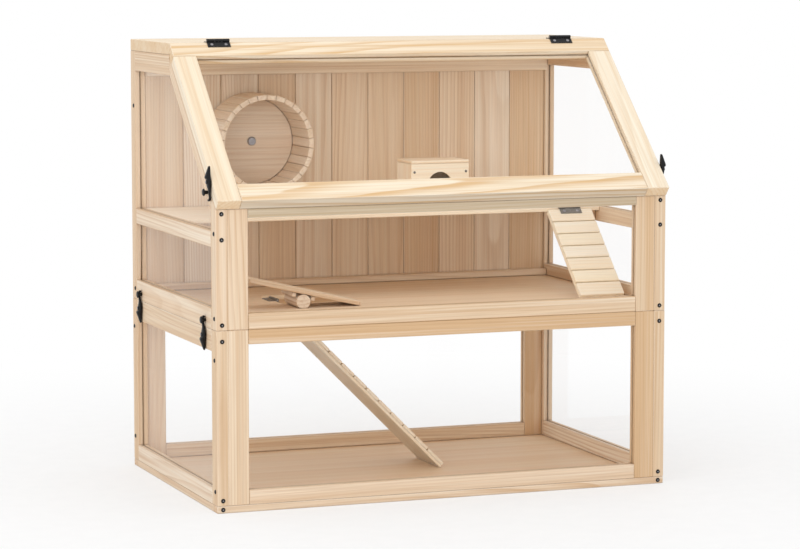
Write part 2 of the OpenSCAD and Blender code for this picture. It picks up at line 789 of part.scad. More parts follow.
module wheel_spacer() color(pine) at_cage() on_axle(back_y) difference() {
    cylinder(h = spacer_l, r = spacer_r);
    translate([0, 0, -over]) cylinder(h = spacer_l + 2 * over, r = axle_r + bore_play);
}

// Hut on the shelf
module hut_front() color(pale_pine) at_cage() difference() {
    block([hut_x, hut_y, shelf_top], [hut_x + hut_w, hut_y + hut_wall, hut_eave_z]);
    translate([hut_x + hut_w / 2, hut_y - over, shelf_top]) {
        translate([0, 0, door_h]) rotate([-90, 0, 0]) cylinder(h = hut_wall + 2 * over, r = door_r);
        translate([-door_r, 0, -over]) cube([2 * door_r, hut_wall + 2 * over, door_h + over]);
    }
}

module hut_walls() color(pale_pine) at_cage() {
    for (x = [hut_x, hut_x + hut_w - hut_wall])
        block([x, hut_y + hut_wall, shelf_top], [x + hut_wall, hut_y + hut_d, hut_eave_z]);
    block([hut_x + hut_wall + glue_gap, hut_y + hut_d - hut_wall, shelf_top],
        [hut_x + hut_w - hut_wall - glue_gap, hut_y + hut_d, hut_eave_z]);
}

module hut_roof() color(pale_pine) at_cage()
    block([hut_x, hut_y, hut_eave_z], [hut_x + hut_w, hut_y + hut_d, hut_eave_z + hut_roof_t]);

// Ramps
module ramp_base(w, l) block([ramp_start, -w / 2, -ramp_n], [l, w / 2, ramp_base_t - ramp_n]);

// The slats run from the hinge to the foot, with gaps at first, first + pitch and so on
module ramp_slats(w, l, first, pitch) {
    gaps = [for (s = [first:pitch:l - slat_least]) s];
    for (i = [0:len(gaps)])
        block([i == 0 ? ramp_start : gaps[i - 1] + slat_gap / 2, -w / 2, -leaf_t - slat_t],
            [i == len(gaps) ? l : gaps[i] - slat_gap / 2, w / 2, -leaf_t]);
}

module shelf_ramp_base() color(pine) at_cage() on_shelf_ramp() ramp_base(shelf_ramp_w, shelf_ramp_l);

module shelf_ramp_slats() color(pale_pine) at_cage() on_shelf_ramp()
    ramp_slats(shelf_ramp_w, shelf_ramp_l, shelf_slat_first, shelf_slat_pitch);

module shelf_ramp_leaf() color(steel) at_cage() on_shelf_ramp() rotate([0, 0, -90]) leaf(leaf_t, false);

module lower_ramp_base() color(pine) at_cage() on_lower_ramp() ramp_base(lower_ramp_w, lower_ramp_l);

module lower_ramp_slats() color(pale_pine) at_cage() on_lower_ramp()
    ramp_slats(lower_ramp_w, lower_ramp_l, lower_slat_first, lower_slat_pitch);

module lower_ramp_leaf() color(steel) at_cage() on_lower_ramp() rotate([0, 0, -90]) leaf(leaf_t, false);

// Seesaw on the upper floor
module seesaw_dowel() color(pine) at_cage() difference() {
    translate([seesaw_x, seesaw_y, dowel_z]) rotate([-90, 0, 0]) cylinder(h = seesaw_w, r = dowel_r);
    translate([seesaw_x - dowel_r, seesaw_y - over, floor_top - dowel_r])
        cube([2 * dowel_r, seesaw_w + 2 * over, dowel_r]);
}

module seesaw_board() color(pale_pine) at_cage() on_seesaw()
    block([-seesaw_l / 2, 0, seesaw_n], [seesaw_l / 2, seesaw_w, seesaw_n + seesaw_t]);

module seesaw_stops() color(pine) at_cage() on_seesaw()
    for (x = [-dowel_r - stop_play - stop_w, dowel_r + stop_play])
        block([x, stop_inset, seesaw_n - stop_w], [x + stop_w, seesaw_w - stop_inset, seesaw_n]);

// Lid
module lid_top_rail() color(pale_pine) at_cage() on_lid() difference() {
    plate([[0, 0], [lid_top_w, 0], [lid_top_w, lid_t], [lid_t * lid_rise, lid_t]], cage_w);
    lid_pane_shape(groove_depth, groove_w);
}

module lid_bottom_rail() color(pale_pine) at_cage() on_lid() difference() {
    block([lid_stile_w, lid_l - lid_bottom_w, 0], [cage_w - lid_stile_w, lid_l, lid_t]);
    lid_pane_shape(groove_depth, groove_w);
}

module lid_stiles() color(pale_pine) at_cage() on_lid() difference() {
    both_sides() block([0, lid_top_w, 0], [lid_stile_w, lid_l, lid_t]);
    lid_pane_shape(groove_depth, groove_w);
    both_sides() translate([0, lid_pivot_s, lid_pivot_d]) rotate([0, 90, 0])
        drill(latch_screw_l, latch_screw_r);
}

module lid_pane() color(clear) at_cage() on_lid() lid_pane_shape(pane_grip, pane_t);

// Latches on the left side: x = 0 is the wood's face, the hook is above the pivot and the tail below it
module lever() difference() {
    union() {
        rod(hub_r, -hook_back, -latch_play);
        block([-hook_back, 0, 0], [-latch_play, hub_r, latch_reach - bow_r]);
        translate([0, 0, latch_reach]) difference() {
            rod(bow_r + bow_w, -hook_back, -latch_play);
            rod(bow_r, -hook_back - over, 0);
            block([-hook_back - over, -2 * bow_r - bow_w, -2 * bow_r - bow_w], [0, 0, 2 * bow_r + bow_w]);
        }
        hull() {
            translate([0, 0, -tail_top]) rod(tail_r, -latch_play - tail_t, -latch_play, $fn = 32);
            translate([0, 0, tail_tip_r - tail_l])
                rod(tail_tip_r, -latch_play - tail_tip_t, -latch_play, $fn = 32);
        }
    }
    rod(latch_screw_r + bore_play, -hook_back - over, 0);
}

module pivot_screw() {
    rod(latch_screw_r, -hook_back - latch_play, latch_screw_l);
    rod(pivot_head_r, -hook_back - latch_play - pivot_head_t, -hook_back - latch_play);
}

module keeper() {
    rod(latch_screw_r, 0, latch_screw_l);
    rod(neck_r, -hook_back - latch_play, 0);
    rod(keeper_r, -hook_back - latch_play - keeper_head_t, -hook_back - latch_play);
}

module right_side() {
    translate([cage_w, 0, 0]) mirror([1, 0, 0]) children();
}

module lid_lever() {
    translate([0, lid_pivot_y, lid_pivot_z]) rotate([180 + lid_slope - lid_latch_turn, 0, 0]) lever();
}

module side_lever(y) {
    translate([0, y, pivot_z]) lever();
}

module lid_latch_left() color(black) at_cage() lid_lever();

module lid_latch_right() color(black) at_cage() right_side() lid_lever();

module latch_left_front() color(black) at_cage() side_lever(latch_ys[0]);

module latch_left_back() color(black) at_cage() side_lever(latch_ys[1]);

module latch_right_front() color(black) at_cage() right_side() side_lever(latch_ys[0]);

module latch_right_back() color(black) at_cage() right_side() side_lever(latch_ys[1]);

module lid_latch_screws() color(black) at_cage() both_sides()
    translate([0, lid_pivot_y, lid_pivot_z]) pivot_screw();

module latch_fittings() color(black) at_cage() both_sides() {
    for (y = latch_ys) {
        translate([0, y, pivot_z]) pivot_screw();
        translate([0, y, keeper_z]) keeper();
    }
    translate([0, lid_keeper_y, lid_keeper_z]) keeper();
}

module frame_screws() color(black) at_cage() both_sides() {
    for (i = [0:len(front_screws) - 1])
        translate([frame_t / 2, 0, front_screws[i]]) rotate([-90, 0, 0])
            screw(i == 0 ? short_screw_l : screw_l);
    side_screw_places() screw(screw_l);
}

base_strips();
lower_floor();
lower_side_stiles();
lower_side_top_rails();
lower_side_bottom_rails();
lower_panel_stiles();
lower_panel_rails();
lower_side_panes();
lower_panel_panes();
upper_side_front_stiles();
upper_side_back_stiles();
upper_side_top_rails();
upper_side_slope_rails();
upper_side_mid_rails();
upper_side_bottom_rails();
gable_panes();
upper_side_low_panes();
upper_front_stiles();
upper_front_top_rail();
upper_front_bottom_rail();
upper_front_pane();
back_boards();
back_rails();
upper_floor();
shelf();
shelf_cleats();
roof_board();
roof_hinge_leaves();
hinge_pins();
wheel_bolt();
wheel_spacer();
wheel_staves();
wheel_disc();
hut_front();
hut_walls();
hut_roof();
shelf_ramp_base();
shelf_ramp_slats();
shelf_ramp_leaf();
lower_ramp_base();
lower_ramp_slats();
lower_ramp_leaf();
ramp_fixed_leaves();
seesaw_dowel();
seesaw_board();
seesaw_stops();
lid_top_rail();
lid_bottom_rail();
lid_stiles();
lid_pane();
lid_hinge_leaves();
lid_latch_screws();
lid_latch_left();
lid_latch_right();
latch_left_front();
latch_left_back();
latch_right_front();
latch_right_back();
latch_fittings();
frame_screws();
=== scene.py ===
"""Looks of the wooden hamster cage: pine, plywood, clear panes, black fittings, nails and screws."""
import json
import math

import bmesh
import bpy
from bpy.props import FloatProperty, FloatVectorProperty, PointerProperty
from mathutils import Matrix, Vector


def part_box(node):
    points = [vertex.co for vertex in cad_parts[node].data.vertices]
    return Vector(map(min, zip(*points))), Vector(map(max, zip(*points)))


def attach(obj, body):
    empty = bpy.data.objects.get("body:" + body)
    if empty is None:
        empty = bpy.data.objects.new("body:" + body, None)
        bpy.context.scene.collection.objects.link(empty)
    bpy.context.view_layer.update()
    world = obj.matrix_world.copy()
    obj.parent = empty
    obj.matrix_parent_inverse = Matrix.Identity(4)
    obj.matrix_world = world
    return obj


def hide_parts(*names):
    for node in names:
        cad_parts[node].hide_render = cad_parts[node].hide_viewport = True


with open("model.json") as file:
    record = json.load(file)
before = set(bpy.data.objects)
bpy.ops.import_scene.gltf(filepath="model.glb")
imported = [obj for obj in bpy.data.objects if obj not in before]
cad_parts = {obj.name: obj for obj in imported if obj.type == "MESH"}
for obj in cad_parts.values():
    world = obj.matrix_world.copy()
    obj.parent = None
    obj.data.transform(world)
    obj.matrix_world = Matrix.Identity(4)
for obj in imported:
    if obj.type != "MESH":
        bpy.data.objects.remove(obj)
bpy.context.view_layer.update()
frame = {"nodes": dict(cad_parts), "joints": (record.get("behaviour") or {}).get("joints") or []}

bl_info = {
    "name": "Wooden Hamster Cage Looks",
    "version": (1, 0, 0),
    "blender": (4, 5, 0),
    "location": "View3D > Sidebar > Cage",
    "description": "Dresses the packed cage with wood, clear panes, black fittings and small fasteners",
    "category": "Object",
}

MM = 0.001
NODES = frame["nodes"]


# Places read from the frame


def solids(node):
    """The separate solids of a node, each as a list of triangles of corner points."""
    mesh = NODES[node].data
    places = [tuple(round(c, 6) for c in v.co) for v in mesh.vertices]
    leader = {place: place for place in places}

    def find(place):
        while leader[place] != place:
            leader[place] = leader[leader[place]]
            place = leader[place]
        return place

    triangles = [[places[i] for i in polygon.vertices] for polygon in mesh.polygons]
    for corners in triangles:
        for other in corners[1:]:
            leader[find(other)] = find(corners[0])
    groups = {}
    for corners in triangles:
        groups.setdefault(find(corners[0]), []).append([Vector(c) for c in corners])
    return [groups[key] for key in sorted(groups)]


# Cosine of the widest angle between the normal of a face and the direction that it is wanted in
LEAST_COSINE = 0.5


class Face:
    """The widest flat face of a solid towards a direction, with its middle and its half sizes."""

    def __init__(self, triangles, towards, along):
        towards = Vector(towards).normalized()
        planes = {}
        for a, b, c in triangles:
            cross = (b - a).cross(c - a)
            if cross.length == 0 or cross.normalized().dot(towards) < LEAST_COSINE:
                continue
            normal = cross.normalized()
            key = (*(round(n, 3) for n in normal), round(normal.dot(a), 5))
            plane = planes.setdefault(key, [0.0, normal, []])
            plane[0] += cross.length / 2
            plane[2] += [a, b, c]
        _, self.normal, points = max(planes.values(), key=lambda plane: plane[0])
        along = Vector(along)
        self.u = (along - self.normal * along.dot(self.normal)).normalized()
        self.v = self.normal.cross(self.u)
        spans = [sorted(p.dot(axis) for p in points) for axis in (self.u, self.v)]
        self.half_u, self.half_v = ((span[-1] - span[0]) / 2 for span in spans)
        u, v = ((span[-1] + span[0]) / 2 for span in spans)
        self.centre = self.u * u + self.v * v + self.normal * points[0].dot(self.normal)

    def spot(self, u, v):
        """A place on the face, as a matrix whose z axis stands on it."""
        turn = Matrix((self.u, self.v, self.normal)).transposed().to_4x4()
        return Matrix.Translation(self.centre + self.u * u + self.v * v) @ turn

    def pair(self, u, v):
        """Two places on the face, on both sides of its middle."""
        return [self.spot(side * u, v) for side in (-1, 1)]


def slope_of(node, towards, along):
    """Angle of a node's face above the horizon."""
    return math.acos(Face(solids(node)[0], towards, along).normal.z)


def outwards(solid):
    """The way out of the cage, along x, at a solid."""
    return math.copysign(1, solid[0][0].x), 0, 0


def extent(solid, axis):
    """Size of a solid along an axis."""
    places = [corner[axis] for triangle in solid for corner in triangle]
    return max(places) - min(places)


def size_of(node):
    """Size of a node along each axis."""
    low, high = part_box(node)
    return high - low


X, Y, Z = range(3)
FORWARD = (0, -1, 0)
BACKWARD = (0, 1, 0)
FORWARD_UP = (0, -1, 1)
RIGHT_UP = (1, 0, 1)
UP = (0, 0, 1)
ALONG_X = (1, 0, 0)
ALONG_Y = (0, 1, 0)
LID_SLOPE = slope_of("lid_bottom_rail", FORWARD_UP, ALONG_X)
SHELF_RAMP_SLOPE = slope_of("shelf_ramp_slats", FORWARD_UP, ALONG_X)
LOWER_RAMP_SLOPE = slope_of("lower_ramp_slats", RIGHT_UP, ALONG_Y)
STOCK = size_of("upper_front_top_rail").y
CLEAT = size_of("shelf_cleats").z

# Turns that bring the grain of a piece to the x axis
QUARTER = math.pi / 2
GRAIN_X = (0, 0, 0)
GRAIN_Y = (0, 0, -QUARTER)
GRAIN_Z = (0, QUARTER, 0)
GRAIN_LID = (-LID_SLOPE, 0, -QUARTER)
GRAIN_SHELF_RAMP = (-SHELF_RAMP_SLOPE, 0, -QUARTER)
GRAIN_LOWER_RAMP = (0, -LOWER_RAMP_SLOPE, 0)
# Turn that brings the direction through the lower ramp's boards to the x axis
THROUGH_LOWER_RAMP = (0, QUARTER - LOWER_RAMP_SLOPE, 0)


# Settings


def linear(hex_code):
    """A colour written as red, green and blue in hexadecimal, as the numbers that a shader takes."""
    parts = [int(hex_code[i:i + 2], 16) / 255 for i in (0, 2, 4)]
    return tuple(c / 12.92 if c <= 0.04045 else ((c + 0.055) / 1.055) ** 2.4 for c in parts)


def colour(name, description, hex_code):
    """A setting for a colour."""
    return FloatVectorProperty(
        name=name, description=description, subtype="COLOR", size=3, min=0, max=1, default=linear(hex_code)
    )


def length(name, description, default):
    """A setting for a length."""
    return FloatProperty(name=name, description=description, unit="LENGTH", min=0, default=default)


def head_size(name, pieces, radius, height):
    """A setting for the radius and the height of a kind of head, given in millimetres."""
    return FloatVectorProperty(
        name=name, description=f"Radius and height of {pieces}", unit="LENGTH", size=2, min=0,
        default=(radius * MM, height * MM),
    )


def power(name, description, default):
    """A setting for the power of a lamp."""
    return FloatProperty(name=name, description=description, unit="POWER", min=0, default=default)


class CAGE_PG_wood(bpy.types.PropertyGroup):
    """Colours and figure of the woods"""

    frame_pale: colour("Frame, pale", "Early wood of the stiles and rails", "ecd6ba")
    frame_dark: colour("Frame, dark", "Late wood of the stiles and rails", "cba277")
    # Painted shade: the rail under the lid has greyer tints, for the shade of the lid's overhang
    rail_pale: colour("Front rail, pale", "Early wood of the rail under the lid, greyed as painted shade", "d7ceba")
    rail_dark: colour("Front rail, dark", "Late wood of the rail under the lid, greyed as painted shade", "b99c77")
    lid_pale: colour("Lid, pale", "Early wood of the lid and the roof", "f7ecd6")
    lid_dark: colour("Lid, dark", "Late wood of the lid and the roof", "dab17c")
    board_pale: colour("Back boards, pale", "Early wood of the back wall", "f3dfc5")
    board_dark: colour("Back boards, dark", "Late wood of the back wall", "cfa77c")
    ply_pale: colour("Plywood, pale", "Early wood of the floors", "f3dcbf")
    ply_dark: colour("Plywood, dark", "Late wood of the floors", "dcb98d")
    hut_pale: colour("Hut, pale", "Early wood of the hut and the shelf", "ffefd6")
    hut_dark: colour("Hut, dark", "Late wood of the hut and the shelf", "f2d2ac")
    slat_pale: colour("Slats, pale", "Early wood of the ramps", "fff5de")
    slat_dark: colour("Slats, dark", "Late wood of the ramps", "f6dbb2")
    wheel_pale: colour("Wheel, pale", "Early wood of the running wheel", "f3e1cb")
    wheel_dark: colour("Wheel, dark", "Late wood of the running wheel", "dabc9c")
    ring: length("Ring spacing", "Distance between two growth rings", 4.5 * MM)
    ply: length("Ply thickness", "Thickness of one layer of the plywood", 1.25 * MM)
    edge: length("Edge softening", "Width of the broken edges of the wood", 0.9 * MM)
    stave_edge: length("Stave edges", "Width of the broken edges of the wheel's staves", 1.1 * MM)
    # How far the painted shade in creases and where pieces meet reaches
    seam: length("Crease shade reach", "How far the painted shade of a crease reaches out of it", 2.4 * MM)


class CAGE_PG_fittings(bpy.types.PropertyGroup):
    """Colours of the fittings and sizes of the small fasteners"""

    plastic: colour("Latch plastic", "Black of the latches", "121213")
    lacquer: colour("Black lacquer", "Black of the hinges and the screws", "131315")
    steel: colour("Steel", "Bare steel of the pins, the bolt and the screw recesses", "a09da0")
    leaf: colour("Dull steel", "Dull steel of the ramp hinges", "86827c")
    wire: colour("Nail wire", "Steel of the nails", "6f675f")
    pane: colour("Clear sheet", "Tint of the clear panes", "ffffff")
    hinge_screw: head_size("Hinge screws", "the heads of the hinge screws", 2.0, 0.7)
    pivot: head_size("Pivot pins", "the bright pins of the latches", 1.8, 0.6)
    # Painted highlight: bright steel in the screw recesses stands in for their glint
    drive: head_size("Screw drives", "the bright steel in the screw recesses, a painted glint", 1.0, 0.35)
    nail: head_size("Nails", "the nail heads on the back wall", 1.1, 0.25)
    hut_nail: head_size("Hut nails", "the nail heads on the hut", 1.65, 0.25)
    recess: length("Recess depth", "Depth of the cross in a screw head", 0.5 * MM)
    hut_nail_edge: length("Hut nail edge", "From the hut's edges to its nails", 4.5 * MM)
    hut_nail_drop: length("Hut nail drop", "From the top of the hut's front to its nails", 11 * MM)


class CAGE_PG_stage(bpy.types.PropertyGroup):
    """Camera, lamps and floor"""

    camera_at: FloatVectorProperty(
        name="Camera", description="Place of the camera", subtype="TRANSLATION", unit="LENGTH",
        size=3, default=(-1.3424, -3.5761, 0.6804),
    )
    camera_turn: FloatVectorProperty(
        name="Camera turn", description="Turn of the camera", subtype="EULER", unit="ROTATION",
        size=3, default=(math.radians(83.77), 0, math.radians(-20.663)),
    )
    lens: FloatProperty(
        name="Lens", description="Focal length on a 36 mm sensor", unit="CAMERA", default=132.87
    )
    ambient: FloatProperty(
        name="Ambient", description="Strength of the light from all round", min=0, default=0.77
    )
    top_power: power("Top lamp", "Power of the soft lamp overhead", 16)
    front_power: power("Front lamp", "Power of the soft lamp at the front", 33)
    floor_r: length("Floor radius", "Radius of the pale floor", 60.0)


# Building blocks of the materials


class Graph:
    """Adds nodes to a tree and joins them."""

    def __init__(self, tree):
        self.tree = tree

    def add(self, kind, *values, **settings):
        """A new node with its settings, and with values for its first inputs."""
        node = self.tree.nodes.new(kind)
        for name, value in settings.items():
            setattr(node, name, value)
        for socket, value in zip(node.inputs, values):
            self.feed(socket, value)
        return node

    def feed(self, socket, value):
        """Joins an input to an output, or sets it."""
        if isinstance(value, bpy.types.NodeSocket):
            self.tree.links.new(value, socket)
        elif socket.type == "RGBA":
            socket.default_value = (*value[:3], 1)
        else:
            socket.default_value = value

    def fill(self, node, **inputs):
        """Feeds the inputs of a node by their names, with _ for a space."""
        for name, value in inputs.items():
            self.feed(node.inputs[name.replace("_", " ")], value)
        return node

    def math(self, operation, *values):
        return self.add("ShaderNodeMath", *values, operation=operation).outputs[0]

    def times(self, a, b):
        return self.math("MULTIPLY", a, b)

    def scaled(self, value, factor, start):
        """A value times a factor, counted from a start."""
        return self.math("MULTIPLY_ADD", value, factor, start)

    def vector(self, operation, *values):
        node = self.add("ShaderNodeVectorMath", *values, operation=operation)
        scalar = operation in ("DOT_PRODUCT", "LENGTH", "DISTANCE")
        return node.outputs["Value" if scalar else "Vector"]

    def turn(self, vector, angles):
        """A vector, turned about the x, y and z axes."""
        return self.fill(self.add("ShaderNodeMapping"), Vector=vector, Rotation=angles).outputs[0]

    def split(self, vector):
        return self.add("ShaderNodeSeparateXYZ", vector).outputs

    def join(self, x, y, z):
        return self.add("ShaderNodeCombineXYZ", x, y, z).outputs[0]

    def noise(self, vector, cycles, detail=2.0, roughness=0.5):
        """A noise from 0 to 1, with about so many cycles a metre along each axis."""
        place = self.vector("MULTIPLY", vector, cycles)
        node = self.add("ShaderNodeTexNoise")
        return self.fill(node, Vector=place, Scale=1, Detail=detail, Roughness=roughness).outputs[0]

    def step(self, value, low, high, to_low=0.0, to_high=1.0):
        """A smooth step from to_low to to_high as value goes from low to high."""
        ends = low, high, to_low, to_high
        return self.add("ShaderNodeMapRange", value, *ends, interpolation_type="SMOOTHSTEP").outputs[0]

    def mix(self, factor, a, b, blend="MIX"):
        """A mix of two colours or vectors."""
        node = self.add("ShaderNodeMix", data_type="RGBA", blend_type=blend)
        for k, value in ((0, factor), (6, a), (7, b)):
            self.feed(node.inputs[k], value)
        return node.outputs[2]

    def grey(self, value):
        """A value as a grey colour, to multiply a colour with."""
        return self.join(value, value, value)

    def group(self, name, **inputs):
        """The outputs of a shared effect."""
        return self.fill(self.add("ShaderNodeGroup", node_tree=GROUPS[name]), **inputs).outputs

    def principled(self, **inputs):
        return self.fill(self.add("ShaderNodeBsdfPrincipled"), **inputs)

    def bump(self, height, strength, distance):
        """A normal that is bent by a height."""
        node = self.add("ShaderNodeBump")
        return self.fill(node, Height=height, Strength=strength, Distance=distance).outputs[0]

    def in_view(self):
        """1 on the rays that make the picture: straight ones, and those by way of gloss or a pane."""
        path = self.add("ShaderNodeLightPath").outputs
        by_way = self.math("MAXIMUM", path["Is Glossy Ray"], path["Is Transmission Ray"])
        return self.math("MAXIMUM", path["Is Camera Ray"], by_way)

    def blend(self, factor, first, second):
        """A mix of two shaders."""
        return self.add("ShaderNodeMixShader", factor, first.outputs[0], second.outputs[0])

    def surface(self, shader):
        """Puts a shader on the surface of the material."""
        self.add("ShaderNodeOutputMaterial", shader.outputs[0])


# Kinds of the sockets that don't hold a number
SOCKETS = {"Vector": "NodeSocketVector", **dict.fromkeys(("Color", "Pale", "Dark"), "NodeSocketColor")}
GROUPS = {}


def new_group(name, inputs, outputs):
    """An empty shader group with named sockets: its graph, its inputs and its outputs."""
    tree = bpy.data.node_groups.new(name, "ShaderNodeTree")
    for in_out, sockets in (("INPUT", inputs), ("OUTPUT", outputs)):
        for socket in sockets:
            kind = SOCKETS.get(socket, "NodeSocketFloat")
            tree.interface.new_socket(socket, in_out=in_out, socket_type=kind)
    graph = Graph(tree)
    GROUPS[name] = tree
    return graph, graph.add("NodeGroupInput").outputs, graph.add("NodeGroupOutput").inputs


def make_wood_figure():
    """Growth rings, streaks and fibres in a solid block whose grain runs along x.
    Tone takes a piece from bleached, below 0, to tan, above 0."""
    g, i, o = new_group(
        "Wood figure",
        ("Vector", "Seed", "End", "Tone", "Pale", "Dark", "Ring", "Contrast", "Streaks", "Variety"),
        ("Color", "Roughness", "Height"),
    )
    random = g.add("ShaderNodeTexWhiteNoise", noise_dimensions="1D")
    g.feed(random.inputs["W"], g.times(i["Seed"], 61.7))
    chance = g.split(random.outputs["Color"])
    pith = g.join(
        g.times(chance[0], 7.0),
        g.scaled(chance[1], 0.8, -0.4),
        g.scaled(chance[2], 0.8, -0.6),
    )
    place = g.vector("ADD", i["Vector"], pith)

    # Rings: the distance from the pith, bent by slow drifts along the grain
    drift = g.math("SUBTRACT", g.noise(place, (1.1, 9, 9), 1), 0.5)
    wobble = g.math("SUBTRACT", g.noise(place, (7, 70, 70), 2), 0.5)
    radius = g.vector("LENGTH", g.vector("MULTIPLY", place, (0, 1, 1)))
    bent = g.scaled(drift, 0.06, radius)
    bent = g.scaled(wobble, 0.003, bent)
    phase = g.math("FRACT", g.math("DIVIDE", bent, i["Ring"]))
    late = g.times(g.step(phase, 0.35, 0.9), g.step(phase, 0.92, 1.0, 1, 0))
    presence = g.step(g.noise(place, (1.5, 26, 26), 2), 0.35, 0.7, 0.3, 1)
    late = g.times(g.times(late, presence), i["Contrast"])

    # Streaks run the length of the piece: broad bands, and threads a few millimetres wide
    streak = g.noise(place, (0.9, 75, 75), 3, 0.55)
    thread = g.noise(place, (2.2, 300, 300), 3, 0.65)
    band = g.times(g.step(streak, 0.4, 0.75), i["Streaks"])
    bleach = g.times(g.step(streak, 0.48, 0.3), i["Streaks"])
    dark_thread = g.times(g.step(thread, 0.48, 0.68), i["Streaks"])
    pale_thread = g.times(g.step(thread, 0.48, 0.3), i["Streaks"])
    fibre = g.noise(place, (14, 1100, 1100), 2, 0.6)

    bone = (0.98, 0.9, 0.78)
    tan = g.mix(0.5, i["Pale"], g.mix(1.0, i["Dark"], (1.0, 0.95, 0.62), "MULTIPLY"))
    tone = g.scaled(g.math("SUBTRACT", chance[0], 0.5), i["Variety"], i["Tone"])
    ground = g.mix(g.step(tone, 0.0, 0.6), i["Pale"], tan)
    ground = g.mix(g.step(tone, 0.0, -0.6, 0, 0.6), ground, bone)
    rosy = g.mix(1.0, ground, (0.98, 0.93, 0.9), "MULTIPLY")
    body = g.mix(g.step(g.noise(place, (1.2, 20, 20), 2), 0.35, 0.65), ground, rosy)
    body = g.mix(band, body, g.mix(0.55, ground, i["Dark"]))
    body = g.mix(g.times(dark_thread, 0.5), body, i["Dark"])
    ringed = g.mix(late, body, i["Dark"])
    pale = g.math("MAXIMUM", g.times(bleach, 0.3), g.times(pale_thread, 0.35))
    streaked = g.mix(pale, ringed, bone)
    grained = g.mix(1.0, streaked, g.grey(g.step(fibre, 0.25, 0.75, 0.94, 1.03)), "MULTIPLY")
    g.feed(o["Color"], g.mix(i["End"], grained, i["Dark"]))
    g.feed(o["Roughness"], g.step(fibre, 0.2, 0.8, 0.5, 0.66))
    g.feed(o["Height"], g.scaled(late, -0.8, g.times(fibre, 0.6)))


def make_ply_edge():
    """The layers that show on the cut edges of plywood."""
    g, i, o = new_group("Ply edge", ("Depth", "Ply", "Side", "Color", "Dark"), ("Color",))
    layer = g.math("PINGPONG", g.math("DIVIDE", i["Depth"], i["Ply"]), 1.0)
    cross_grain = g.step(layer, 0.42, 0.58)
    edge = g.mix(g.times(cross_grain, 0.75), i["Color"], i["Dark"])
    g.feed(o["Color"], g.mix(i["Side"], i["Color"], edge))


def make_mottle():
    """Soft clouds and fine pitting, for metal and moulded plastic."""
    g, i, o = new_group(
        "Mottle", ("Vector", "Color", "Spread", "Roughness"), ("Color", "Roughness", "Height")
    )
    cloud = g.noise(i["Vector"], (140, 140, 140), 4, 0.6)
    pits = g.noise(i["Vector"], (2600, 2600, 2600), 2)
    swing = g.times(g.math("SUBTRACT", cloud, 0.5), i["Spread"])
    g.feed(o["Color"], g.mix(1.0, i["Color"], g.grey(g.scaled(swing, 2.0, 1.0)), "MULTIPLY"))
    g.feed(o["Roughness"], g.scaled(swing, 0.6, i["Roughness"]))
    g.feed(o["Height"], g.scaled(cloud, 0.4, pits))


def make_edge_wear():
    """A mask that is 1 on the sharp edges of a piece, broken up by noise."""
    g, i, o = new_group("Edge wear", ("Vector", "Radius"), ("Mask",))
    soft = g.add("ShaderNodeBevel", samples=4)
    g.feed(soft.inputs["Radius"], i["Radius"])
    hard = g.add("ShaderNodeNewGeometry").outputs["Normal"]
    turn = g.vector("DOT_PRODUCT", soft.outputs[0], hard)
    chips = g.step(g.noise(i["Vector"], (500, 500, 500), 3), 0.42, 0.62)
    g.feed(o["Mask"], g.times(g.step(turn, 0.98, 0.8), chips))


def make_painted_crease_shade():
    """Painted shade: darkens the colour where other surfaces lie near, in creases, corners and where
    pieces meet.
    """
    g, i, o = new_group("Seam", ("Color", "Dark", "Reach", "Depth"), ("Color",))
    open_sky = g.add("ShaderNodeAmbientOcclusion", samples=2)
    g.feed(open_sky.inputs["Distance"], i["Reach"])
    depth = g.times(g.step(open_sky.outputs["AO"], 0.85, 0.35), i["Depth"])
    shade = g.mix(1.0, i["Dark"], (0.35, 0.28, 0.22), "MULTIPLY")
    g.feed(o["Color"], g.mix(depth, i["Color"], shade))


def new_material(name):
    """An empty node material: the material, its graph and the coordinates on a piece."""
    material = bpy.data.materials.new(name)
    material.use_nodes = True
    material.node_tree.nodes.clear()
    g = Graph(material.node_tree)
    return material, g, g.add("ShaderNodeTexCoord").outputs


# Strength and depth of the relief of wood, and of metal and plastic
WOOD_RELIEF = 0.25, 0.15 * MM
HARD_RELIEF = 0.2, 0.05 * MM
# Width of the worn edges of lacquer and metal
WORN_EDGE = 0.4 * MM
# Painted shade: multiplies the colour of wood that lies out of the light
PAINTED_SHADE_TINT = (0.5, 0.48, 0.45)
# How squarely a face looks along an axis, where its darker end grain or its painted shade starts and where
# it is full
FACING = (0.75, 0.95)


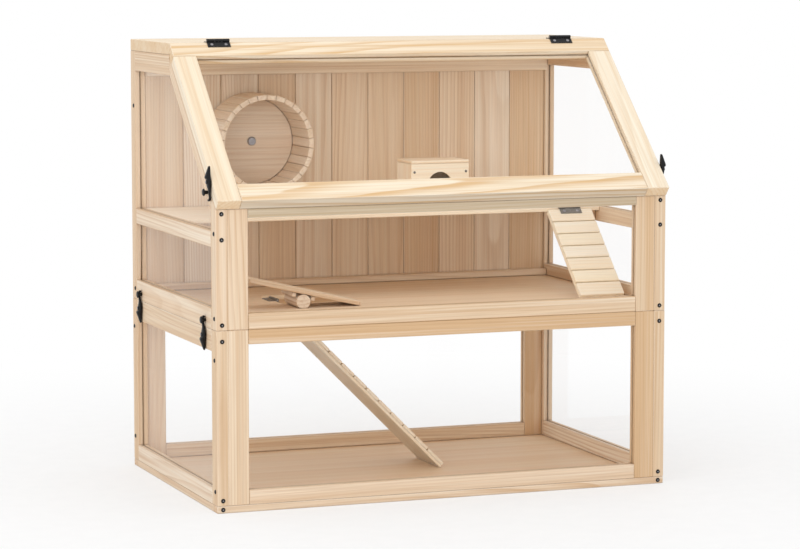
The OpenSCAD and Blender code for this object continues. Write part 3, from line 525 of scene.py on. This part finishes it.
def wood_material(
    name, grain, tints, contrast=0.6, streaks=0.8, variety=0.6, tone=0.0, end_shade=0.45, seam=0.5,
    other_plank=None, fore_aft=None, ply=None, greyed=None, room=None,
):
    """Wood in the pale and the dark tint that the settings have under the name tints.
    Past a place along an axis, other_plank gives the pieces another tone.
    Between the two y places of fore_aft the grain runs front to back.
    ply is the axis through a sheet of plywood and the place where its layers start.
    greyed is a turn that brings the normal of the faces in painted shade to the x axis, and how dark that
    painted shade is.
    room is the low and the high corner of a box within which the wood gets painted shade."""
    settings = bpy.context.scene.cage_wood
    pale, dark = (getattr(settings, f"{tints}_{shade}") for shade in ("pale", "dark"))
    material, g, coords = new_material(name)
    place, normal = (g.turn(coords[kind], grain) for kind in ("Object", "Normal"))
    if fore_aft:
        y = g.split(coords["Object"])[Y]
        behind = g.math("GREATER_THAN", y, fore_aft[0])
        between = g.times(behind, g.math("LESS_THAN", y, fore_aft[1]))
        place = g.mix(between, place, g.turn(coords["Object"], GRAIN_Y))
        normal = g.mix(between, normal, g.turn(coords["Normal"], GRAIN_Y))
    if other_plank:
        axis, start, other_tone = other_plank
        past = g.math("GREATER_THAN", g.split(coords["Object"])[axis], start)
        tone = g.scaled(past, other_tone - tone, tone)
    figure = g.group(
        "Wood figure",
        Vector=place,
        Seed=g.add("ShaderNodeNewGeometry").outputs["Random Per Island"],
        End=g.step(g.math("ABSOLUTE", g.split(normal)[X]), *FACING, 0, end_shade),
        Tone=tone, Pale=pale, Dark=dark, Ring=settings.ring,
        Contrast=contrast, Streaks=streaks, Variety=variety,
    )
    shown = figure["Color"]
    if ply:
        axis, start = ply
        through = g.math("ABSOLUTE", g.split(coords["Normal"])[axis])
        depth = g.math("SUBTRACT", g.split(coords["Object"])[axis], start)
        side = g.step(through, 0.5, 0.3)
        layers = g.group("Ply edge", Depth=depth, Ply=settings.ply, Side=side, Color=shown, Dark=dark)
        shown = layers["Color"]
    # Painted shade on the faces that look along a given direction
    if greyed:
        turn, depth = greyed
        across = g.math("ABSOLUTE", g.split(g.turn(coords["Normal"], turn))[X])
        shown = g.mix(g.step(across, *FACING, 0, depth), shown, PAINTED_SHADE_TINT, "MULTIPLY")
    # Painted shade on the wood inside a box
    if room:
        low, high = room
        off = g.vector("ABSOLUTE", g.vector("SUBTRACT", coords["Object"], (low + high) / 2))
        x, y, z = (g.math("LESS_THAN", *pair) for pair in zip(g.split(off), (high - low) / 2))
        inside = g.times(g.times(x, y), z)
        shown = g.mix(inside, shown, PAINTED_SHADE_TINT, "MULTIPLY")
    # Painted shade: darker where other surfaces lie near, in creases and where pieces meet
    shown = g.group("Seam", Color=shown, Dark=dark, Reach=settings.seam, Depth=seam)["Color"]
    shader = g.principled(Base_Color=shown, Roughness=figure["Roughness"], Specular_IOR_Level=0.35)
    g.fill(shader, Normal=g.bump(figure["Height"], *WOOD_RELIEF))
    g.surface(shader)
    return material


# Plastic, lacquers and metals: the setting that has their colour, and their looks
HARD = {
    "Latch plastic": dict(paint="plastic", roughness=0.4, spread=0.25, shine=0.25),
    "Hinge lacquer": dict(
        paint="lacquer", metallic=0.2, roughness=0.3, spread=0.3, shine=0.35,
        wear=0.7, worn=(0.35, 0.35, 0.36),
    ),
    "Screw lacquer": dict(paint="lacquer", metallic=0.3, roughness=0.35, spread=0.3, shine=0.3, wear=0.3),
    "Zinc steel": dict(paint="steel", metallic=1, roughness=0.35, spread=0.35),
    "Dull steel": dict(
        paint="leaf", metallic=0.7, roughness=0.5, spread=0.35, wear=0.6, worn=(0.45, 0.44, 0.42)
    ),
    "Nail wire": dict(paint="wire", metallic=0.85, roughness=0.45, spread=0.3),
}


def hard_material(name):
    """One of the hard materials, made when it is first asked for."""
    return bpy.data.materials.get(name) or new_hard_material(name, **HARD[name])


def new_hard_material(name, paint, roughness, spread, metallic=0, shine=0.5, wear=0, worn=(0.5, 0.5, 0.5)):
    """Clouded plastic, lacquer or metal, with worn edges if asked for."""
    material, g, coords = new_material(name)
    place = coords["Object"]
    shade = getattr(bpy.context.scene.cage_fittings, paint)
    mottle = g.group("Mottle", Vector=place, Color=shade, Spread=spread, Roughness=roughness)
    shown = mottle["Color"]
    if wear:
        mask = g.group("Edge wear", Vector=place, Radius=WORN_EDGE)["Mask"]
        shown = g.mix(g.times(mask, wear), shown, worn)
    shader = g.principled(
        Base_Color=shown, Roughness=mottle["Roughness"], Metallic=metallic, Specular_IOR_Level=shine
    )
    g.fill(shader, Normal=g.bump(mottle["Height"], *HARD_RELIEF))
    g.surface(shader)
    return material


def pane_material():
    """Clear sheet that lets the lamps through, with faint smears in its gloss."""
    material, g, coords = new_material("Clear sheet")
    smear = g.step(g.noise(coords["Object"], (14, 14, 30), 4, 0.6), 0.35, 0.75, 0.0, 0.004)
    glass = g.principled(
        Base_Color=bpy.context.scene.cage_fittings.pane, Roughness=smear, IOR=1.12, Transmission_Weight=1.0
    )
    clear = g.add("ShaderNodeBsdfTransparent")
    path = g.add("ShaderNodeLightPath").outputs
    passing = g.math("MAXIMUM", path["Is Shadow Ray"], path["Is Diffuse Ray"])
    g.surface(g.blend(passing, glass, clear))
    return material


def floor_material():
    """Pale floor that keeps the object's shadow and runs into the white background."""
    material, g, coords = new_material("Pale floor")
    place = coords["Object"]
    speckle = g.step(g.noise(place, (35, 35, 35), 3), 0.3, 0.7, 0.9, 0.93)
    matt = g.principled(Base_Color=g.grey(speckle), Roughness=0.7)
    white = g.add("ShaderNodeEmission")
    away = g.step(g.vector("LENGTH", place), 0.35, 1.2, 0.55, 1.0)
    g.surface(g.blend(g.times(g.in_view(), away), matt, white))
    return material


# Dressing the nodes and adding small pieces


def dress(material, *nodes):
    """Gives the nodes a material."""
    for node in nodes:
        for slot in NODES[node].material_slots:
            slot.material = material


# An edge shorter than this, or flatter than this, stays as it is
SHORTEST_EDGE = 2.5 * MM
FLATTEST_EDGE = math.radians(35)
# Corners nearer than this are one corner, and triangles flatter than this are one face
SAME_CORNER = 0.01 * MM
SAME_FACE = math.radians(0.5)


def make_edge_marks():
    """A modifier's nodes: smooth round faces, keep corners sharp and mark the edges to be softened."""
    tree = bpy.data.node_groups.new("Edge marks", "GeometryNodeTree")
    for in_out in ("INPUT", "OUTPUT"):
        tree.interface.new_socket("Geometry", in_out=in_out, socket_type="NodeSocketGeometry")
    g = Graph(tree)
    angle = g.add("GeometryNodeInputMeshEdgeAngle").outputs[0]
    corner = g.math("GREATER_THAN", angle, FLATTEST_EDGE)
    ends = g.add("GeometryNodeInputMeshEdgeVertices").outputs
    reach = g.vector("DISTANCE", ends["Position 1"], ends["Position 2"])
    plain = g.add("GeometryNodeSetMeshNormal", mode="SHARPNESS")
    smooth = g.add("GeometryNodeSetShadeSmooth", domain="FACE")
    sharp = g.add("GeometryNodeSetShadeSmooth", domain="EDGE")
    mark = g.add("GeometryNodeStoreNamedAttribute", data_type="FLOAT", domain="EDGE")
    g.fill(plain, Remove_Custom=True)
    g.fill(smooth, Shade_Smooth=True)
    g.fill(sharp, Selection=corner, Shade_Smooth=False)
    weight = g.times(corner, g.math("GREATER_THAN", reach, SHORTEST_EDGE))
    g.fill(mark, Name="bevel_weight_edge", Value=weight)
    shape = g.add("NodeGroupInput").outputs[0]
    for node in (plain, smooth, sharp, mark):
        g.feed(node.inputs[0], shape)
        shape = node.outputs[0]
    g.add("NodeGroupOutput", shape)
    GROUPS[tree.name] = tree


def break_edges(width, *nodes):
    """Joins the corners of each solid and softens its edges."""
    for node in nodes:
        modifiers = NODES[node].modifiers
        modifiers.new("Joined corners", "WELD").merge_threshold = SAME_CORNER
        flat = modifiers.new("Whole faces", "DECIMATE")
        flat.decimate_type = "DISSOLVE"
        flat.angle_limit = SAME_FACE
        modifiers.new("Edge marks", "NODES").node_group = GROUPS["Edge marks"]
        bevel = modifiers.new("Broken edges", "BEVEL")
        bevel.width = width
        bevel.segments = 2
        bevel.limit_method = "WEIGHT"
        bevel.use_clamp_overlap = False
        modifiers.new("Flat faces", "WEIGHTED_NORMAL").keep_sharp = True


def dress_wood(material, *nodes):
    """Gives wooden nodes a material and soft edges."""
    dress(material, *nodes)
    break_edges(bpy.context.scene.cage_wood.edge, *nodes)


def finish(name, grain, tints, *nodes, **figure):
    """Gives wooden nodes a wood of their own and soft edges."""
    dress_wood(wood_material(name, grain, tints, **figure), *nodes)


def finish_ply(node, axis, tints, **figure):
    """Gives a node plywood, with layers along an axis that start at the node's low side."""
    finish(f"Plywood {node}", GRAIN_X, tints, node, ply=(axis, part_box(node)[0][axis]), **figure)


def skin(bm, rings):
    """Joins rings of points, of which the first may be a single point, with faces."""
    for inner, outer in zip(rings, rings[1:]):
        for s in range(len(outer)):
            t = (s + 1) % len(outer)
            if len(inner) == 1:
                bm.faces.new((inner[0], outer[s], outer[t]))
            else:
                bm.faces.new((inner[s], outer[s], outer[t], inner[t]))


# The cross in a screw head: half the width of its arms and their reach, in radii of the head
CROSS_HALF_WIDTH = 0.16
CROSS_REACH = 0.62


def cross_arm(across, along):
    """Depth, from 0 to 1, of one arm of the cross, at a place in radii of the head."""
    return max(0, 1 - (across / CROSS_HALF_WIDTH) ** 4) * max(0, 1 - (along / CROSS_REACH) ** 4)


def add_turned(bm, spot, profile, sides, recess=0.0):
    """A turned shape on a surface, from its crown down, with a cross in it if recess is given."""
    rim = profile[-1][0]
    rings = []
    for radius, height in profile:
        ring = []
        for s in range(sides if radius else 1):
            turn = 2 * math.pi * s / sides
            x, y = radius * math.cos(turn), radius * math.sin(turn)
            dent = recess * max(cross_arm(x / rim, y / rim), cross_arm(y / rim, x / rim))
            ring.append(bm.verts.new(spot @ Vector((x, y, height - dent))))
        rings.append(ring)
    skin(bm, rings)
    bm.faces.new(reversed(rings[-1]))


# Square of the radius, in radii of the head, at which its dome would meet the surface
DOME = 1.1
# How deep a head sits in the surface
FOOT = 0.1 * MM
# Rings and sides of a head without a cross and with one
PLAIN_HEAD = 5, 24
CROSS_HEAD = 12, 48


def domed(radius, height, rings):
    """Profile of a domed head."""
    shares = [k / rings for k in range(rings + 1)]
    dome = [(radius * share, height * math.sqrt((DOME - share**2) / DOME)) for share in shares]
    return [*dome, (radius, -FOOT)]


def new_piece(name, bm, material):
    """Makes an object of a mesh that is drawn up in bm."""
    mesh = bpy.data.meshes.new(name)
    bm.to_mesh(mesh)
    bm.free()
    for polygon in mesh.polygons:
        polygon.use_smooth = True
    mesh.materials.append(material)
    piece = bpy.data.objects.new(name, mesh)
    bpy.context.scene.collection.objects.link(piece)
    return piece


def add_fasteners(name, spots, body, metal, kind, cross=False):
    """One piece of steel heads, of a kind that the settings have, that rides on a body."""
    fittings = bpy.context.scene.cage_fittings
    rings, sides = CROSS_HEAD if cross else PLAIN_HEAD
    profile = domed(*getattr(fittings, kind), rings)
    bm = bmesh.new()
    for spot in spots:
        add_turned(bm, spot, profile, sides, fittings.recess if cross else 0)
    piece = new_piece(name, bm, hard_material(metal))
    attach(piece, body)


def add_moulding(name, bm, node, body):
    """A smooth piece of black plastic on a body, in place of a CAD node."""
    bmesh.ops.recalc_face_normals(bm, faces=bm.faces)
    piece = new_piece(name, bm, hard_material("Latch plastic"))
    moulded = piece.modifiers.new("Moulded", "SUBSURF")
    moulded.levels = moulded.render_levels = 2
    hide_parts(node)
    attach(piece, body)


# The steps, one operator each


class CAGE_OT_groups(bpy.types.Operator):
    """Makes the node groups that the finishes share"""

    bl_idname = "cage.groups"
    bl_label = "Shared Effects"

    def execute(self, context):
        makers = make_wood_figure, make_ply_edge, make_mottle, make_edge_wear, make_painted_crease_shade, make_edge_marks
        for make in makers:
            make()
        return {"FINISHED"}


class CAGE_OT_frames(bpy.types.Operator):
    """Finishes the stiles, the rails and the base strips in pine"""

    bl_idname = "cage.frames"
    bl_label = "Frames"

    def execute(self, context):
        finish(
            "Upright pine", GRAIN_Z, "frame", "lower_side_stiles", "upper_side_back_stiles", streaks=0.6
        )
        finish(
            "Front upright pine", GRAIN_Z, "frame", "upper_side_front_stiles", "upper_front_stiles",
            streaks=0.6, tone=0.15,
        )
        right = X, 0, 0.45
        finish("Two-plank pine", GRAIN_Z, "frame", "lower_panel_stiles", streaks=0.6, other_plank=right)
        # Painted shade: the rail under the lid takes the greyer rail tints and a darker tone
        finish("Front rail pine", GRAIN_X, "rail", "upper_front_top_rail", tone=0.15)
        finish("Sill pine", GRAIN_X, "frame", "upper_front_bottom_rail", tone=0.3)
        low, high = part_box("lower_panel_rails")
        upper = Z, (low.z + high.z) / 2, 0.8
        finish("Upper and lower pine", GRAIN_X, "frame", "lower_panel_rails", tone=-0.1, other_plank=upper)
        finish(
            "Fore and aft pine", GRAIN_Y, "frame", "lower_side_top_rails", "upper_side_top_rails",
            "upper_side_mid_rails", "upper_side_bottom_rails", tone=-0.15,
        )
        finish("Low fore and aft pine", GRAIN_Y, "frame", "lower_side_bottom_rails", tone=-0.6)
        finish("Sloping pine", GRAIN_LID, "frame", "upper_side_slope_rails")
        low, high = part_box("base_strips")
        sides = low.y + STOCK, high.y - STOCK
        finish("Base pine", GRAIN_X, "frame", "base_strips", tone=-0.3, fore_aft=sides)
        return {"FINISHED"}


class CAGE_OT_lid(bpy.types.Operator):
    """Finishes the lid and the roof board in cream pine"""

    bl_idname = "cage.lid"
    bl_label = "Lid and Roof"

    def execute(self, context):
        bold = {"contrast": 0.9, "streaks": 1.0}
        finish("Crossways cream pine", GRAIN_X, "lid", "lid_top_rail", **bold)
        # Painted shade on the nose and the inner edge of the lid's bottom rail
        finish("Nosed cream pine", GRAIN_X, "lid", "lid_bottom_rail", greyed=(GRAIN_LID, 0.45), **bold)
        finish("Roof pine", GRAIN_X, "lid", "roof_board", streaks=0.7)
        finish("Sloping cream pine", GRAIN_LID, "lid", "lid_stiles", contrast=0.4, streaks=0.6, tone=-0.1)
        return {"FINISHED"}


# Where a board has its nails and a hinge leaf its screws, as a share of half its width
BOARD_NAILS = 0.6
LEAF_SCREWS = 0.62


class CAGE_OT_back_wall(bpy.types.Operator):
    """Finishes the boards and rails of the back wall, and nails the boards"""

    bl_idname = "cage.back_wall"
    bl_label = "Back Wall"

    def execute(self, context):
        finish(
            "Board pine", GRAIN_Z, "board", "back_boards", contrast=0.5, streaks=0.5, variety=1.0, seam=0.3
        )
        finish("Back rail pine", GRAIN_X, "board", "back_rails")
        rails = [Face(rail, BACKWARD, ALONG_X) for rail in solids("back_rails")]
        spots = []
        for board in solids("back_boards"):
            face = Face(board, BACKWARD, ALONG_X)
            for rail in rails:
                rise = (rail.centre - face.centre).dot(face.v)
                spots += face.pair(BOARD_NAILS * face.half_u, rise)
        add_fasteners("back_wall_nails", spots, "cage", "Nail wire", "nail")
        return {"FINISHED"}


class CAGE_OT_floors(bpy.types.Operator):
    """Finishes the two floors in plywood, and the shelf and its cleats in pine"""

    bl_idname = "cage.floors"
    bl_label = "Floors and Shelf"

    def execute(self, context):
        for node in ("lower_floor", "upper_floor"):
            finish_ply(node, Z, "ply", contrast=0.35, streaks=0.5)
        finish("Shelf pine", GRAIN_X, "hut", "shelf", contrast=0.4, streaks=0.5, seam=0.2)
        low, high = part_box("shelf_cleats")
        finish("Cleat pine", GRAIN_X, "frame", "shelf_cleats", fore_aft=(low.y, high.y - CLEAT))
        return {"FINISHED"}


class CAGE_OT_wheel(bpy.types.Operator):
    """Finishes the running wheel and its spacer"""

    bl_idname = "cage.wheel"
    bl_label = "Running Wheel"

    def execute(self, context):
        staves = wood_material("Stave pine", GRAIN_Y, "wheel", streaks=0.6, end_shade=0.05, seam=0.25)
        dress(staves, "wheel_staves")
        break_edges(context.scene.cage_wood.stave_edge, "wheel_staves")
        dress_wood(staves, "wheel_spacer")
        finish_ply("wheel_disc", Y, "wheel", contrast=0.5, seam=0.3)
        return {"FINISHED"}


class CAGE_OT_hut(bpy.types.Operator):
    """Finishes the hut and nails its front"""

    bl_idname = "cage.hut"
    bl_label = "Hut"

    def execute(self, context):
        fittings = context.scene.cage_fittings
        for node, axis in (("hut_front", Y), ("hut_roof", Z)):
            finish_ply(node, axis, "hut", contrast=0.3)
        # Painted shade darkens the inside of the hut
        wall = size_of("hut_front").y
        low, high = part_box("hut_walls")
        room = low + Vector((wall / 2, -wall, 0)), high - Vector((wall / 2, wall / 2, 0))
        finish("Hut wall wood", GRAIN_Z, "hut", "hut_walls", contrast=0.3, room=room)
        face = Face(solids("hut_front")[0], FORWARD, ALONG_X)
        spots = face.pair(face.half_u - fittings.hut_nail_edge, face.half_v - fittings.hut_nail_drop)
        add_fasteners("hut_nails", spots, "cage", "Nail wire", "hut_nail")
        return {"FINISHED"}


class CAGE_OT_ramps(bpy.types.Operator):
    """Finishes the two ramps, slats on a base board each"""

    bl_idname = "cage.ramps"
    bl_label = "Ramps"

    def execute(self, context):
        ramps = (
            ("shelf_ramp", GRAIN_SHELF_RAMP, GRAIN_X, -0.3, None),
            # The lower ramp's base gets painted shade on its faces across the board, its underside most
            ("lower_ramp", GRAIN_LOWER_RAMP, GRAIN_Y, -0.9, (THROUGH_LOWER_RAMP, 0.5)),
        )
        for ramp, along, across, tone, greyed in ramps:
            finish(f"{ramp} base pine", along, "slat", f"{ramp}_base", tone=tone, seam=0.1, greyed=greyed)
            finish(
                f"{ramp} slat pine", across, "slat", f"{ramp}_slats", contrast=0.35, streaks=0.4,
                variety=1.2, tone=tone, end_shade=0.0, seam=0.2,
            )
        return {"FINISHED"}


class CAGE_OT_seesaw(bpy.types.Operator):
    """Finishes the seesaw and the dowel that it rocks on"""

    bl_idname = "cage.seesaw"
    bl_label = "Seesaw"

    def execute(self, context):
        tilt = slope_of("seesaw_board", UP, ALONG_Y)
        finish("Seesaw pine", (0, -tilt, 0), "frame", "seesaw_board")
        finish("Dowel pine", GRAIN_Y, "frame", "seesaw_dowel", "seesaw_stops", tone=-0.7, end_shade=0.05)
        return {"FINISHED"}


class CAGE_OT_panes(bpy.types.Operator):
    """Finishes the clear panes"""

    bl_idname = "cage.panes"
    bl_label = "Clear Panes"

    def execute(self, context):
        dress(
            pane_material(), "lower_side_panes", "lower_panel_panes", "gable_panes",
            "upper_side_low_panes", "upper_front_pane", "lid_pane",
        )
        return {"FINISHED"}


# A latch lever in millimetres from its tail to its neck, with its pivot at 0, 0:
# place across and along it, half width, and height of its underside and its top above the wood
LEVER = (
    (0.0, -19.6, 1.4, 1.0, 2.6),
    (0.0, -18.2, 2.2, 0.7, 3.4),
    (0.0, -13.5, 3.1, 0.6, 5.0),
    (0.0, -8.0, 4.3, 0.6, 7.0),
    (0.0, -4.4, 5.0, 0.6, 8.3),
    (0.0, -3.4, 5.1, 0.6, 5.2),
    (0.0, 0.0, 5.3, 0.6, 5.2),
    (0.2, 4.4, 5.0, 0.6, 5.0),
    (0.9, 6.4, 3.8, 0.6, 4.4),
    (1.8, 9.2, 2.3, 0.7, 3.8),
    (2.6, 12.0, 1.9, 0.7, 3.8),
)
# Its section: across, in half widths, and up, as a share of its height
SECTION = (
    (0.7, 0.0), (1.0, 0.2), (1.0, 0.7), (0.75, 1.0), (-0.75, 1.0), (-1.0, 0.7), (-1.0, 0.2), (-0.7, 0.0),
)
# Its hook, round the keeper: radius and turn of the bow, half width, and heights at its two ends
HOOK_R = 4.25
HOOK_TURN = (-45, 115)
HOOK_STEPS = 7
HOOK_W = 1.45
HOOK_TOPS = (3.8, 4.2)
# A keeper and a pivot: the number of their sides, and their profiles from the crown down,
# as radius and height above the wood
TURNED_SIDES = 12
KEEPER = (
    (0.0, 7.2), (2.4, 7.1), (4.2, 6.6), (4.9, 5.6), (4.6, 4.6), (2.7, 4.3), (2.5, 3.6), (2.5, -1.0),
)
PIVOT = ((0.0, 6.4), (1.6, 6.3), (2.5, 6.0), (2.8, 5.3), (2.8, 4.0), (1.9, 3.6), (1.9, -1.0))
# A fitting whose head is wider than a pivot's by more than this factor is a keeper
KEEPER_WIDER = 1.1


def lever_stations(reach):
    """The stations of a lever whose hook has its middle reach millimetres from the pivot."""
    stations = list(LEVER)
    for k in range(HOOK_STEPS):
        share = k / (HOOK_STEPS - 1)
        turn = math.radians(HOOK_TURN[0] + share * (HOOK_TURN[1] - HOOK_TURN[0]))
        top = HOOK_TOPS[0] + share * (HOOK_TOPS[1] - HOOK_TOPS[0])
        across, along = HOOK_R * math.cos(turn), reach + HOOK_R * math.sin(turn)
        stations.append((across, along, HOOK_W, LEVER[0][3], top))
    return stations


def add_lever(latch, pivot):
    """A moulded lever on a latch's body, in place of the CAD lever."""
    ways = [v.co - pivot for v in NODES[latch].data.vertices]
    tip = max(ways, key=lambda way: way.yz.length)
    along = Vector((0, *tip.yz.normalized()))
    across = Vector((0, along.z, -along.y))
    outward = Vector((math.copysign(1, pivot.x), 0, 0))
    stations = lever_stations(tip.yz.length / MM - HOOK_R - HOOK_W)
    bm = bmesh.new()
    rings = []
    for k, (x, y, half, low, high) in enumerate(stations):
        before, after = stations[max(k - 1, 0)], stations[min(k + 1, len(stations) - 1)]
        heading = Vector((after[0] - before[0], after[1] - before[1])).normalized()
        ring = []
        for swing, rise in SECTION:
            a, b = x + half * swing * heading.y, y - half * swing * heading.x
            lift = low + rise * (high - low)
            ring.append(bm.verts.new(pivot + (across * a + along * b + outward * lift) * MM))
        rings.append(ring)
    skin(bm, rings)
    bm.faces.new(rings[0])
    bm.faces.new(rings[-1])
    add_moulding(f"{latch}_lever", bm, latch, latch)


class CAGE_OT_latches(bpy.types.Operator):
    """Moulds the latches and turns their keepers and pivots, with bright pins"""

    bl_idname = "cage.latches"
    bl_label = "Latches"

    def execute(self, context):
        for joint in frame["joints"]:
            if "latch" in joint["child"]:
                add_lever(joint["child"], Vector(joint["pos_m"]))
        fitted = (
            ("latch_fittings", "cage", "lower_side_stiles"),
            ("lid_latch_screws", "lid", "lid_stiles"),
        )
        for node, body, stiles in fitted:
            face_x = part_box(stiles)[1].x
            heads = [Face(fitting, outwards(fitting), ALONG_Y) for fitting in solids(node)]
            pivot_head = min(head.half_u for head in heads)
            bm = bmesh.new()
            pins = []
            for head in heads:
                spot = head.spot(0, 0) @ Matrix.Translation((0, 0, face_x - abs(head.centre.x)))
                keeper = head.half_u > KEEPER_WIDER * pivot_head
                profile = [(r * MM, z * MM) for r, z in (KEEPER if keeper else PIVOT)]
                add_turned(bm, spot, profile, TURNED_SIDES)
                if not keeper:
                    pins.append(spot @ Matrix.Translation((0, 0, profile[1][1])))
            add_moulding(f"{node}_turned", bm, node, body)
            add_fasteners(f"{node}_pins", pins, body, "Zinc steel", "pivot", cross=True)
        return {"FINISHED"}


class CAGE_OT_hinges(bpy.types.Operator):
    """Finishes the hinges and the wheel's bolt, and puts the screws in the hinge leaves"""

    bl_idname = "cage.hinges"
    bl_label = "Hinges"

    def execute(self, context):
        dress(hard_material("Hinge lacquer"), "roof_hinge_leaves", "lid_hinge_leaves")
        dress(hard_material("Zinc steel"), "hinge_pins", "wheel_bolt")
        dress(hard_material("Dull steel"), "ramp_fixed_leaves", "shelf_ramp_leaf", "lower_ramp_leaf")
        leaves = (
            ("roof_hinge_leaves", "cage", UP, [ALONG_X] * 2),
            ("lid_hinge_leaves", "lid", FORWARD_UP, [ALONG_X] * 2),
            ("ramp_fixed_leaves", "cage", UP, [ALONG_Y, ALONG_X]),
            ("shelf_ramp_leaf", "shelf_ramp", FORWARD_UP, [ALONG_X]),
            ("lower_ramp_leaf", "lower_ramp", RIGHT_UP, [ALONG_Y]),
        )
        for node, body, towards, alongs in leaves:
            spots = []
            for leaf, along in zip(solids(node), alongs):
                face = Face(leaf, towards, along)
                spots += face.pair(LEAF_SCREWS * face.half_u, 0)
            add_fasteners(f"{node}_screws", spots, body, "Zinc steel", "hinge_screw", cross=True)
        return {"FINISHED"}


class CAGE_OT_screws(bpy.types.Operator):
    """Finishes the frame screws, with bright steel at the bottoms of their recesses as a painted glint"""

    bl_idname = "cage.screws"
    bl_label = "Frame Screws"

    def execute(self, context):
        dress(hard_material("Screw lacquer"), "frame_screws")
        # Painted highlight: bright steel sunk into each recess stands in for its glint
        sunk = Matrix.Translation((0, 0, -context.scene.cage_fittings.recess))
        spots = []
        for screw in solids("frame_screws"):
            sideways = extent(screw, X) > extent(screw, Y)
            face = Face(screw, outwards(screw) if sideways else FORWARD, UP)
            spots.append(face.spot(0, 0) @ sunk)
        add_fasteners("frame_screw_drives", spots, "cage", "Zinc steel", "drive")
        return {"FINISHED"}


# The lamps, in metres: the place and the side of each square, and the point that both look at
TOP_LAMP = (-0.4, -0.5, 2.6), 2.6
FRONT_LAMP = (-1.9, -2.7, 1.2), 3.0
LAMP_TARGET = Vector((0, 0, 0.3))
FLOOR_SIDES = 96


class CAGE_OT_stage(bpy.types.Operator):
    """Makes the floor, the lamps, the background and the camera"""

    bl_idname = "cage.stage"
    bl_label = "Stage"

    def execute(self, context):
        scene, stage = context.scene, context.scene.cage_stage
        bm = bmesh.new()
        bmesh.ops.create_circle(bm, cap_ends=True, segments=FLOOR_SIDES, radius=stage.floor_r)
        new_piece("floor", bm, floor_material())
        self.add_lamp(scene, "top_lamp", *TOP_LAMP, stage.top_power)
        self.add_lamp(scene, "front_lamp", *FRONT_LAMP, stage.front_power)
        self.add_background(scene, stage)
        self.add_camera(scene, stage)
        scene.view_settings.view_transform = "Standard"
        return {"FINISHED"}

    def add_lamp(self, scene, name, place, size, watts):
        """A square soft lamp that looks at the cage."""
        lamp = bpy.data.lights.new(name, "AREA")
        lamp.size = size
        lamp.energy = watts
        holder = bpy.data.objects.new(name, lamp)
        holder.visible_glossy = False
        holder.location = place
        holder.rotation_euler = (LAMP_TARGET - Vector(place)).to_track_quat("-Z", "Y").to_euler()
        scene.collection.objects.link(holder)

    def add_background(self, scene, stage):
        """A background that looks white and lights the cage from all round."""
        world = bpy.data.worlds.new("Studio")
        world.use_nodes = True
        world.node_tree.nodes.clear()
        g = Graph(world.node_tree)
        strength = g.scaled(g.in_view(), 1 - stage.ambient, stage.ambient)
        sky = g.add("ShaderNodeBackground", (1, 1, 1), strength)
        g.add("ShaderNodeOutputWorld", sky.outputs[0])
        scene.world = world

    def add_camera(self, scene, stage):
        """The camera, as it stood for the photo."""
        camera = bpy.data.objects.new("camera", bpy.data.cameras.new("camera"))
        camera.location = stage.camera_at
        camera.rotation_euler = stage.camera_turn
        camera.data.lens = stage.lens
        scene.collection.objects.link(camera)
        scene.camera = camera


STEPS = (
    CAGE_OT_groups, CAGE_OT_frames, CAGE_OT_lid, CAGE_OT_back_wall, CAGE_OT_floors, CAGE_OT_wheel,
    CAGE_OT_hut, CAGE_OT_ramps, CAGE_OT_seesaw, CAGE_OT_panes, CAGE_OT_latches, CAGE_OT_hinges,
    CAGE_OT_screws, CAGE_OT_stage,
)
SETTINGS = {"cage_wood": CAGE_PG_wood, "cage_fittings": CAGE_PG_fittings, "cage_stage": CAGE_PG_stage}


class CAGE_PT_looks(bpy.types.Panel):
    """Lists the steps that dress the cage, and their settings"""

    bl_idname = "CAGE_PT_looks"
    bl_label = "Wooden Hamster Cage"
    bl_space_type = "VIEW_3D"
    bl_region_type = "UI"
    bl_category = "Cage"

    def draw(self, context):
        for step in STEPS:
            self.layout.operator(step.bl_idname)
        for name, settings in SETTINGS.items():
            box = self.layout.box()
            for value in settings.__annotations__:
                box.prop(getattr(context.scene, name), value)


CLASSES = (*SETTINGS.values(), *STEPS, CAGE_PT_looks)


def register():
    """Makes the settings, the operators and the panel known to Blender."""
    for cls in CLASSES:
        bpy.utils.register_class(cls)
    for name, settings in SETTINGS.items():
        setattr(bpy.types.Scene, name, PointerProperty(type=settings))


def unregister():
    """Takes them away again."""
    for name in SETTINGS:
        delattr(bpy.types.Scene, name)
    for cls in reversed(CLASSES):
        bpy.utils.unregister_class(cls)


def main():
    """Registers the add-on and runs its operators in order."""
    register()
    for step in STEPS:
        family, name = step.bl_idname.split(".")
        getattr(getattr(bpy.ops, family), name)()


if __name__ == "__main__":
    main()
